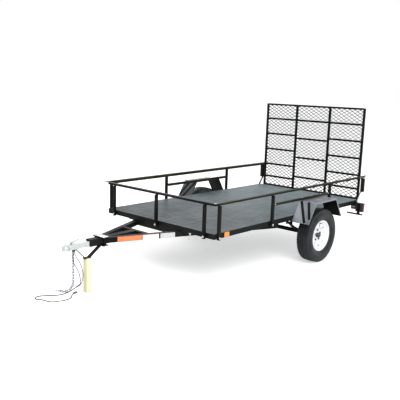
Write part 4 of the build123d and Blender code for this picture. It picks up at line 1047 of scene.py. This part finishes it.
# ---- Wheels ---------------------------------------------------------------------------------------
@dataclass
class Tyre:
    """A radial trailer tyre: ribs and grooves round the tread, lugs on the shoulders, a beaded wall."""

    radius: float = 0.3
    crown: float = 0.006
    tread_half: float = 0.066
    width_half: float = 0.0875
    rim_radius: float = 0.1825
    bead_half: float = 0.055
    seat_radius: float = 0.165
    wall_steps: int = 8
    groove: float = 0.0065
    groove_width: float = 0.007
    grooves: tuple[float, ...] = (-0.04, -0.0135, 0.0135, 0.04)
    lugs: int = 64
    lug_half: tuple[float, float] = (0.0095, 0.0085)
    lug_inset: float = 0.006
    lug_depth: float = 0.02
    lug_rise: float = 0.0022
    lug_skew: float = 8.0
    rings: tuple[tuple[float, float], ...] = ((0.212, 0.0012), (0.262, 0.0016))
    ring_rise: float = 0.0006
    ring_root: float = 0.002
    steps: int = 96
    valve_out: float = 0.022
    valve_up: float = 0.138

    def bulge(self, part: float) -> float:
        """Half width of the wall at a share of its height."""
        swell = math.sin(math.pi * (0.12 + 0.76 * part))
        return self.bead_half + (self.width_half - self.bead_half) * swell

    def outline(self) -> list[tuple[float, float]]:
        """Section of the tyre, from one bead over the tread to the other.

        Returns:
            Its points, as distance across and radius.
        """
        shoulder = self.radius - self.crown
        rise = shoulder - self.rim_radius
        wall: list[tuple[float, float]] = []
        for step in range(self.wall_steps + 1):
            part = step / self.wall_steps
            across = min(self.bulge(part), self.tread_half + (1 - part) * 0.1)
            wall.append((across, self.rim_radius + 0.001 + (rise - 0.009) * part))
        tread: list[tuple[float, float]] = [(self.tread_half, shoulder - 0.001)]
        half, floor = self.groove_width / 2, self.groove_width / 2 * 0.7
        for middle in reversed(self.grooves):
            top = self.radius - self.crown * (middle / self.tread_half) ** 2
            tread += [(middle + half, top), (middle + floor, top - self.groove),
                      (middle - floor, top - self.groove), (middle - half, top)]
        tread.append((-self.tread_half, shoulder - 0.001))
        left = [(-across, up) for across, up in reversed(wall)]
        return [*wall, *tread, *left, (-self.bead_half, self.seat_radius), (self.bead_half, self.seat_radius)]

    def cut_lugs(self, bm: bmesh.types.BMesh, side: Side, centre: Vector) -> None:
        """Adds the raised lugs on both shoulders, each turned to its place.

        Args:
            bm: The tyre's bmesh.
            side: The tyre's side of the trailer.
            centre: The wheel's middle.
        """
        along, half = self.lug_half
        skew = Matrix.Rotation(math.radians(self.lug_skew * side.value), 4, "Z")
        for index in range(self.lugs):
            turn = Matrix.Translation(centre) @ Matrix.Rotation(math.tau * index / self.lugs, 4, "Y")
            for across in (-self.tread_half + self.lug_inset, self.tread_half - self.lug_inset):
                verts = add_box(bm, (-along, across - half, self.radius - self.lug_depth),
                                (along, across + half, self.radius - self.crown + self.lug_rise))
                move(bm, verts, turn @ skew)

    def wall_rings(self, bm: bmesh.types.BMesh, side: Side, centre: Vector) -> None:
        """Adds the two fine raised rings on the outer wall.

        Args:
            bm: The tyre's mesh.
            side: The side of the trailer.
            centre: The wheel's middle.
        """
        rise = self.radius - self.crown - self.rim_radius
        for radius, half in self.rings:
            across = self.bulge((radius - self.rim_radius) / rise)
            root, tip = across - self.ring_root, across + self.ring_rise
            profile = [(root, radius - half), (tip, radius - half * 0.5), (tip, radius + half * 0.5),
                       (root, radius + half)]
            join(bm, spun(profile, centre, side.value, self.steps))

    def build(self, side: Side) -> None:
        """Makes one tyre in the place of its CAD ring, and the valve stem in its rim.

        Args:
            side: The side of the trailer.
        """
        centre = Vector((AXLE_X, side.value * WHEEL_Y, self.radius))
        bm = spun(self.outline(), centre, side.value, self.steps)
        self.cut_lugs(bm, side, centre)
        self.wall_rings(bm, side, centre)
        piece = make(f"tyre_tread_{side.word}", bm, RUBBER, f"wheel_{side.word}", 32.0)
        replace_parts(piece, f"tyre_{side.word}")
        valve = bmesh.new()
        foot = centre + side.out * self.valve_out + UP * self.valve_up
        stem = 0.018
        add_cylinder(valve, foot, side.out, 0.006, stem, 16, 0.0042)
        add_cylinder(valve, foot + side.out * stem, side.out, 0.0038, 0.014)
        make(f"valve_{side.word}", valve, CORD, f"wheel_{side.word}")


# ---- Fenders and lamps ----------------------------------------------------------------------------
@dataclass
class Fender:
    """What a fender carries beyond its sheet: two slanting ribs on its front slope, and a dark shell beneath
    its sheet that paints the shade inside it.
    """

    ribs: tuple[tuple[float, float, float], ...] = ((0.12, 0.74, 0.97), (0.56, 0.95, 0.78))
    rib_width: float = 0.03
    rib_rise: float = 0.003
    slope_run: float = 0.135
    slope_rise: float = 0.215
    sheet: float = 0.003
    top_share: float = 0.02
    painted_shade_shell_depths: tuple[float, float] = (1.25, 1.6)
    painted_shade_shell_lean: float = 1.2

    def build(self, side: Side) -> None:
        """Makes the ribs and the painted shade shell of one fender.

        Args:
            side: The side of the trailer.
        """
        low, high = node_corners(f"fender_{side.word}")
        inner, outer = (low.y, high.y) if side is Side.RIGHT else (high.y, low.y)
        top = Vector((low.x + self.slope_run, 0, high.z))
        slope = Vector((-self.slope_run, 0, -self.slope_rise))
        out = Vector((slope.z, 0, -slope.x)).normalized()
        half, rise = self.rib_width / 2, self.rib_rise
        bm = bmesh.new()
        for start_share, end_share, reach in self.ribs:
            start, end = (
                top + slope * down + Vector((0, inner + (outer - inner) * share, 0))
                for share, down in ((start_share, self.top_share), (end_share, reach))
            )
            along = (end - start).normalized()
            verts = add_box(bm, (0, -half, -rise), ((end - start).length, half, rise), rise * 0.6)
            move(bm, verts, Matrix.Translation(start) @ axes(along, along.cross(out).normalized(), out))
        # Painted shade: the ribs take satin black, darker than the fender sheet they are pressed in, for the
        # shade along them.
        make(f"fender_ribs_{side.word}", outward(bm), BLACK)
        # Painted shade: a black shell just under the sheet darkens the fender's inside.
        make(f"fender_painted_shade_shell_{side.word}", self.painted_shade_shell(low, high), BLACK)

    def painted_shade_shell(self, low: Vector, high: Vector) -> bmesh.types.BMesh:
        """Makes the dark shell beneath a fender's sheet, painted shade for the fender's unlit inside.

        Args:
            low: The fender's lowest corner.
            high: The fender's highest corner.

        Returns:
            The closed shell.
        """
        foot = high.z - self.slope_rise
        line = [(low.x, foot), (low.x + self.slope_run, high.z), (high.x - self.slope_run, high.z),
                (high.x, foot)]
        middle = (low.x + high.x) / 2
        bm = bmesh.new()
        shells = []
        for share in self.painted_shade_shell_depths:
            depth = self.sheet * share
            shells.append([
                bm.verts.new((x + math.copysign(depth * self.painted_shade_shell_lean, middle - x), y, z - depth))
                for x, z in line for y in (low.y + self.sheet, high.y - self.sheet)
            ])
        above, below = shells
        for start in (0, 2, 4):
            a, b, c, d = start, start + 1, start + 3, start + 2
            bm.faces.new([above[index] for index in (a, b, c, d)])
            bm.faces.new([below[index] for index in (d, c, b, a)])
            for first, second in ((b, c), (d, a)):
                bm.faces.new((above[first], below[first], below[second], above[second]))
        for first, second in ((0, 1), (7, 6)):
            bm.faces.new((above[first], above[second], below[second], below[first]))
        return outward(bm)


@dataclass
class TailLamp:
    """A square tail lamp: a black housing, a ribbed red lens, and the box that carries it."""

    inner: float = 0.778
    drop: float = 0.022
    housing_share: float = 0.5
    housing_ease: float = 0.005
    mount: tuple[float, float, float] = (0.715, 0.4975, 0.436)
    bezel: float = 0.004
    lens_back: float = 0.0015
    ribs: int = 9
    rib_share: float = 0.3

    def build(self) -> None:
        """Makes both lamps in the place of the CAD boxes."""
        low, high = node_corners("tail_lamps")
        low.z -= self.drop
        shell, lens = bmesh.new(), bmesh.new()
        split = low.x + (high.x - low.x) * self.housing_share
        edge = self.bezel
        pitch = (high.z - low.z - 4 * edge) / self.ribs
        for side in Side:
            side_box(shell, side, (low.x, split), (self.inner, high.y), (low.z, high.z), self.housing_ease)
            side_box(lens, side, (split - 0.001, high.x - self.lens_back),
                     (self.inner + edge / 2, high.y - edge / 2), (low.z + edge / 2, high.z - edge / 2), 0.003)
            for index in range(self.ribs):
                z = low.z + 2 * edge + pitch * (index + 0.5)
                side_box(lens, side, (high.x - edge, high.x), (self.inner + 2 * edge, high.y - 2 * edge),
                         (z - pitch * self.rib_share, z + pitch * self.rib_share), pitch * 0.2)
        self.mounts(low, high)
        housing = make("tail_lamp_housings", shell, HOUSING)
        make("tail_lamp_lenses", lens, RED)
        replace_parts(housing, "tail_lamps")

    def mounts(self, low: Vector, high: Vector) -> None:
        """Makes the box that carries each lamp beneath the frame, and its bolts.

        Args:
            low: The lamps' lowest corner.
            high: The lamps' highest corner.
        """
        boxes = bmesh.new()
        bolts: list[Bolt] = []
        inner, top, foot = self.mount
        for side in Side:
            near, far = sorted((side.value * inner, side.value * self.inner))
            add_box(boxes, (low.x, near, foot), (high.x, far, top), 0.003)
            bolts += [((low.x, near + (far - near) * share, (top + foot) / 2), (-1, 0, 0), 0.007)
                      for share in (0.3, 0.7)]
        make("lamp_mounts", boxes, HOUSING)
        make_bolts("lamp_mount_bolts", bolts)


@dataclass
class MarkerLamp:
    """The amber side marker: a black base and a ribbed lens."""

    drop: float = 0.018
    shift: float = 0.02
    base: float = 0.005
    lens_inset: float = 0.003
    rib_inset: float = 0.006
    rib_rise: float = 0.001
    ribs: int = 7
    rib_share: float = 0.3

    def build(self) -> None:
        """Makes both markers in the place of the CAD boxes."""
        low, high = node_corners("marker_lamps")
        low.z -= self.drop
        low.x += self.shift
        high.x += self.shift
        lens_foot, lens_face = WEB + self.base, high.y - self.rib_rise
        inset, edge = self.lens_inset, self.rib_inset
        pitch = (high.x - low.x - 2 * edge) / self.ribs
        shell, lens = bmesh.new(), bmesh.new()
        for side in Side:
            side_box(shell, side, (low.x, high.x), (WEB, lens_foot), (low.z, high.z), 0.0015)
            side_box(lens, side, (low.x + inset, high.x - inset), (lens_foot, lens_face),
                     (low.z + inset, high.z - inset), 0.003)
            for index in range(self.ribs):
                x = low.x + edge + pitch * (index + 0.5)
                side_box(lens, side, (x - pitch * self.rib_share, x + pitch * self.rib_share),
                         (lens_face - 0.002, high.y), (low.z + edge, high.z - edge), 0.0008)
        base = make("marker_bases", shell, HOUSING)
        make("marker_lenses", lens, AMBER)
        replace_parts(base, "marker_lamps")


# ---- Tongue ---------------------------------------------------------------------------------------
@dataclass
class ClampPlate:
    """The bright plate on top of the tongue's clamp."""

    thickness: float = 0.003
    sunk: float = 0.001

    def build(self) -> None:
        """Makes the plate over the CAD clamp's top."""
        low, high = node_corners("tongue_clamp")
        bm = bmesh.new()
        add_box(bm, (low.x, low.y, high.z - self.sunk), (high.x, high.y, high.z + self.thickness), 0.001)
        make("clamp_plate", bm, BOLT)


@dataclass
class TongueLabels:
    """Blank labels on the outer face of the near drawbar tube."""

    start: Point = (-1.52, -0.057, 0.0)
    angle: float = 21.9
    half_tube: float = 0.025
    low: float = 0.449
    high: float = 0.4965
    film: float = 0.0004
    rows: tuple[tuple[str, float, float, float, float, Finish], ...] = (
        ("label_orange", -1.466, -1.245, 0.0, 1.0, LABEL_ORANGE),
        ("label_white", -1.238, -1.085, 0.0, 0.84, LABEL_WHITE),
        ("label_white_top", -1.238, -1.085, 0.84, 1.0, LABEL_PINK),
        ("label_grey", -1.07, -0.93, 0.0, 1.0, LABEL_GREY),
    )

    def build(self) -> None:
        """Makes each label as a thin film; a row is its name, ends along X, shares of the height, finish."""
        turn = math.radians(-self.angle)
        along = Vector((math.cos(turn), math.sin(turn), 0))
        out = Vector((math.sin(turn), -math.cos(turn), 0))
        rise = self.high - self.low
        face = Vector(self.start) + out * (self.half_tube + self.film)
        for name, x_from, x_to, share_from, share_to, finish in self.rows:
            bm = bmesh.new()
            start, end = ((x - self.start[0]) / along.x for x in (x_from, x_to))
            verts = add_box(bm, (start, -self.film, self.low + rise * share_from),
                            (end, self.film, self.low + rise * share_to))
            move(bm, verts, Matrix.Translation(face) @ axes(along, -out, UP))
            make(name, bm, finish)


# ---- Rails ----------------------------------------------------------------------------------------
@dataclass
class Uprights:
    """The square posts that carry the top rails, inside the room of their CAD angles."""

    ease: float = 0.002
    rear_width: float = 0.038
    rear_foot: float = 0.645
    skin: float = 0.0003

    def build(self) -> None:
        """Makes every post in the place of its CAD angle, and closes the upper part of the rear posts."""
        low, high = node_corners("rail_uprights")
        half = POST / 2
        bm = bmesh.new()
        for side in Side:
            for x in POST_XS:
                side_box(bm, side, (x - half, x + half), (WEB, WEB + POST), (low.z, high.z), self.ease)
        for y in FRONT_POST_YS:
            add_box(bm, (FRONT_FACE - POST, y - half, low.z), (FRONT_FACE, y + half, high.z), self.ease)
        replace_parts(make("rail_posts", bm, BLACK), "rail_uprights")
        high = node_corners("rear_posts")[1]
        tubes = bmesh.new()
        for side in Side:
            side_box(tubes, side, (high.x - self.rear_width - self.skin, high.x + self.skin),
                     (WEB, high.y + self.skin), (self.rear_foot, high.z), self.ease)
        make("rear_post_tubes", tubes, BLACK)


@dataclass
class MidRails:
    """The slim rails over the fenders, along the top of their CAD angles."""

    depth: float = 0.02
    height: float = 0.018
    wall: float = 0.004

    def build(self) -> None:
        """Makes both rails in the place of the CAD angles: a bar and the web beneath it."""
        low, high = node_corners("mid_rails")
        split = high.z - self.height
        bm = bmesh.new()
        for reach, heights, ease in ((self.depth, (split, high.z), 0.0015),
                                     (self.wall, (low.z, split), 0.001)):
            for side in Side:
                side_box(bm, side, (low.x, high.x), (WEB, WEB + reach), heights, ease)
        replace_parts(make("mid_rail_bars", bm, RAIL_BLACK), "mid_rails")


# ---- Fasteners ------------------------------------------------------------------------------------
@dataclass
class Fasteners:
    """The plated bolts that hold the rails, the tongue and the fenders, and the wheels' studs."""

    foot_height: float = 0.51
    foot_bolt: float = 0.009
    rail_end_xs: tuple[float, float] = (1.895, 1.93)
    rail_height: float = 0.83
    corner_xs: tuple[float, float] = (-0.906, -0.888)
    corner_at: tuple[float, float] = (0.783, 0.845)
    mid_rail_xs: tuple[float, float] = (0.045, 1.095)
    mid_rail_at: tuple[float, float] = (0.785, 0.721)
    tongue_at: Point = (-0.862, 0.3, 0.498)
    fender_xs: tuple[float, ...] = (0.56, 0.751, 0.94)
    fender_at: tuple[float, float] = (0.776, 0.73)
    small: float = 0.006
    studs: int = 5
    stud_circle: float = 0.05715
    stud_out: float = 0.021

    def build(self) -> None:
        """Makes every group of fasteners."""
        posts: list[Bolt] = []
        rails: list[Bolt] = []
        tongue: list[Bolt] = []
        fenders: list[Bolt] = []
        x, y, z = self.tongue_at
        for side in Side:
            sign = side.value
            posts += [((x_at, sign * (WEB + POST), self.foot_height), side.out, self.foot_bolt)
                      for x_at in POST_XS]
            posts += [((x_at, sign * (WEB + 0.003), self.rail_height), side.out, 0.0075)
                      for x_at in self.rail_end_xs]
            for xs, (y_at, z_at), out in ((self.corner_xs, self.corner_at, UP),
                                          (self.mid_rail_xs, self.mid_rail_at, side.out)):
                rails += [((x_at, sign * y_at, z_at), out, self.small) for x_at in xs]
            tongue.append(((x, sign * y, z), UP, 0.008))
            fenders += [((x_at, sign * self.fender_at[0], self.fender_at[1]), UP, self.small)
                        for x_at in self.fender_xs]
        posts += [((FRONT_FACE - POST, y_at, self.foot_height), (-1, 0, 0), self.foot_bolt)
                  for y_at in FRONT_POST_YS]
        make_bolts("upright_bolts", posts)
        make_bolts("rail_bolts", rails)
        make_bolts("tongue_bolts", tongue)
        make_bolts("fender_bolts", fenders)
        for side in Side:
            self.wheel_studs(side)

    def wheel_studs(self, side: Side) -> None:
        """Makes the bright studs in the middle of a wheel's nuts.

        Args:
            side: The side of the trailer.
        """
        bm = bmesh.new()
        for index in range(self.studs):
            turn = math.tau * index / self.studs
            at = Vector((AXLE_X + self.stud_circle * math.sin(turn), side.value * (WHEEL_Y + self.stud_out),
                         AXLE_Z + self.stud_circle * math.cos(turn)))
            add_cylinder(bm, at, side.out, 0.0055, 0.004, 16, 0.0045)
        make(f"wheel_studs_{side.word}", bm, BOLT, f"wheel_{side.word}")


@dataclass
class TieHook:
    """The bright clip that hangs on the near half of the front rail."""

    at: Point = (-0.889, -0.47, 0.484)
    rise: float = 0.014
    drop: float = 0.046
    wire: float = 0.009
    radius: float = 0.014
    turn: float = 200.0
    clamp: Point = (0.009, 0.008, 0.012)
    clamp_foot: float = 0.012

    def build(self) -> None:
        """Makes the clip: a shank that ends in an open hook, and the clamp that holds it."""
        bm = bmesh.new()
        at = Vector(self.at)
        top = at + UP * self.rise
        ring = bmesh.ops.create_circle(bm, cap_ends=True, segments=10, radius=self.wire / 2)["verts"]
        move(bm, ring, Matrix.Translation(top))
        drawn = bmesh.ops.extrude_face_region(bm, geom=list(bm.faces))["geom"]
        bmesh.ops.translate(bm, vec=(0, 0, -self.drop), verts=only(drawn, bmesh.types.BMVert))
        bmesh.ops.spin(bm, geom=only(drawn, bmesh.types.BMFace),
                       cent=top + Vector((0, self.radius, -self.drop)), axis=(1, 0, 0),
                       angle=math.radians(self.turn), steps=14, dvec=STILL)
        reach, half, height = self.clamp
        add_box(bm, at + Vector((-reach, -half, self.clamp_foot)), top + Vector((reach, half, height)), 0.002)
        make("tie_hook", outward(bm), BOLT, smooth_angle=50.0)


@dataclass
class WoodPost:
    """The sawn post that the tongue's stand rests on, with eased corners and cracks in its front."""

    side: float = 0.054
    ease: float = 0.003
    shift: float = 0.005
    cracks: int = 3
    crack_depth: float = 0.0004
    crack_width: float = 0.0012
    crack_foot: float = 0.03
    crack_step: float = 0.05
    crack_top: float = 0.004

    def build(self) -> None:
        """Makes the post inside its CAD block, from the floor to the stand's foot."""
        low, high = node_corners("wood_block")
        middle = (low + high) / 2
        x, half = middle.x + self.shift, self.side / 2
        bm = bmesh.new()
        add_box(bm, (x - half, middle.y - half, low.z), (x + half, middle.y + half, high.z), self.ease)
        for index in range(self.cracks):
            y = middle.y - half + self.side * (index + 1) / (self.cracks + 1)
            foot = low.z + self.crack_foot + self.crack_step * index
            add_box(bm, (x - half - self.crack_depth, y, foot),
                    (x - half + self.crack_depth, y + self.crack_width, high.z - self.crack_top))
        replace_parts(make("wood_post", bm, WOOD), "wood_block")


@dataclass
class RearStruts:
    """Plated struts over the CAD ones, from the rear posts down to the frame's rear corners."""

    top: Point = (1.912, 0, 0.643)
    foot: Point = (1.826, 0, 0.526)
    face: float = 0.7712
    width: float = 0.032
    thickness: float = 0.002
    inset: float = 0.003
    bolt_shares: tuple[float, float] = (0.08, 0.92)

    def build(self) -> None:
        """Makes a strut plate and its two bolts on each side."""
        plates = bmesh.new()
        bolts: list[Bolt] = []
        top = Vector(self.top)
        run = Vector(self.foot) - top
        for side in Side:
            face = side.value * self.face
            verts = add_box(plates, (self.inset, 0, 0), (self.width - self.inset, self.thickness, run.length),
                            0.0006)
            skew = axes(Vector((1, 0, 0)), side.out, run.normalized())
            move(plates, verts, Matrix.Translation(top + Vector((0, face, 0))) @ skew)
            middle = Vector((self.width / 2, face + side.value * self.thickness, 0))
            bolts += [(top + run * share + middle, side.out, 0.008) for share in self.bolt_shares]
        make("rear_strut_plates", outward(plates), BOLT)
        make_bolts("rear_strut_bolts", bolts)


# ---- Making the scene -----------------------------------------------------------------------------
def dress_nodes() -> None:
    """Gives every CAD node its finish; what isn't named is satin black."""
    for name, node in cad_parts.items():
        finish = NODE_FINISHES.get(name, BLACK)
        finish.dress(node)
        LOG.info("node %s: %s", name, finish.name)


def main() -> None:
    """Builds the classes in order."""
    Studio().build()
    Wiring().build()
    dress_nodes()
    for group in (Chain(), GateFrame(), GateMesh()):
        group.build()
    tyre, fender = Tyre(), Fender()
    for side in Side:
        tyre.build(side)
        fender.build(side)
    for group in (TailLamp(), MarkerLamp(), ClampPlate(), TongueLabels(), Uprights(), MidRails(),
                  Fasteners(), TieHook(), WoodPost(), RearStruts()):
        group.build()


if __name__ == "__main__":
    main()
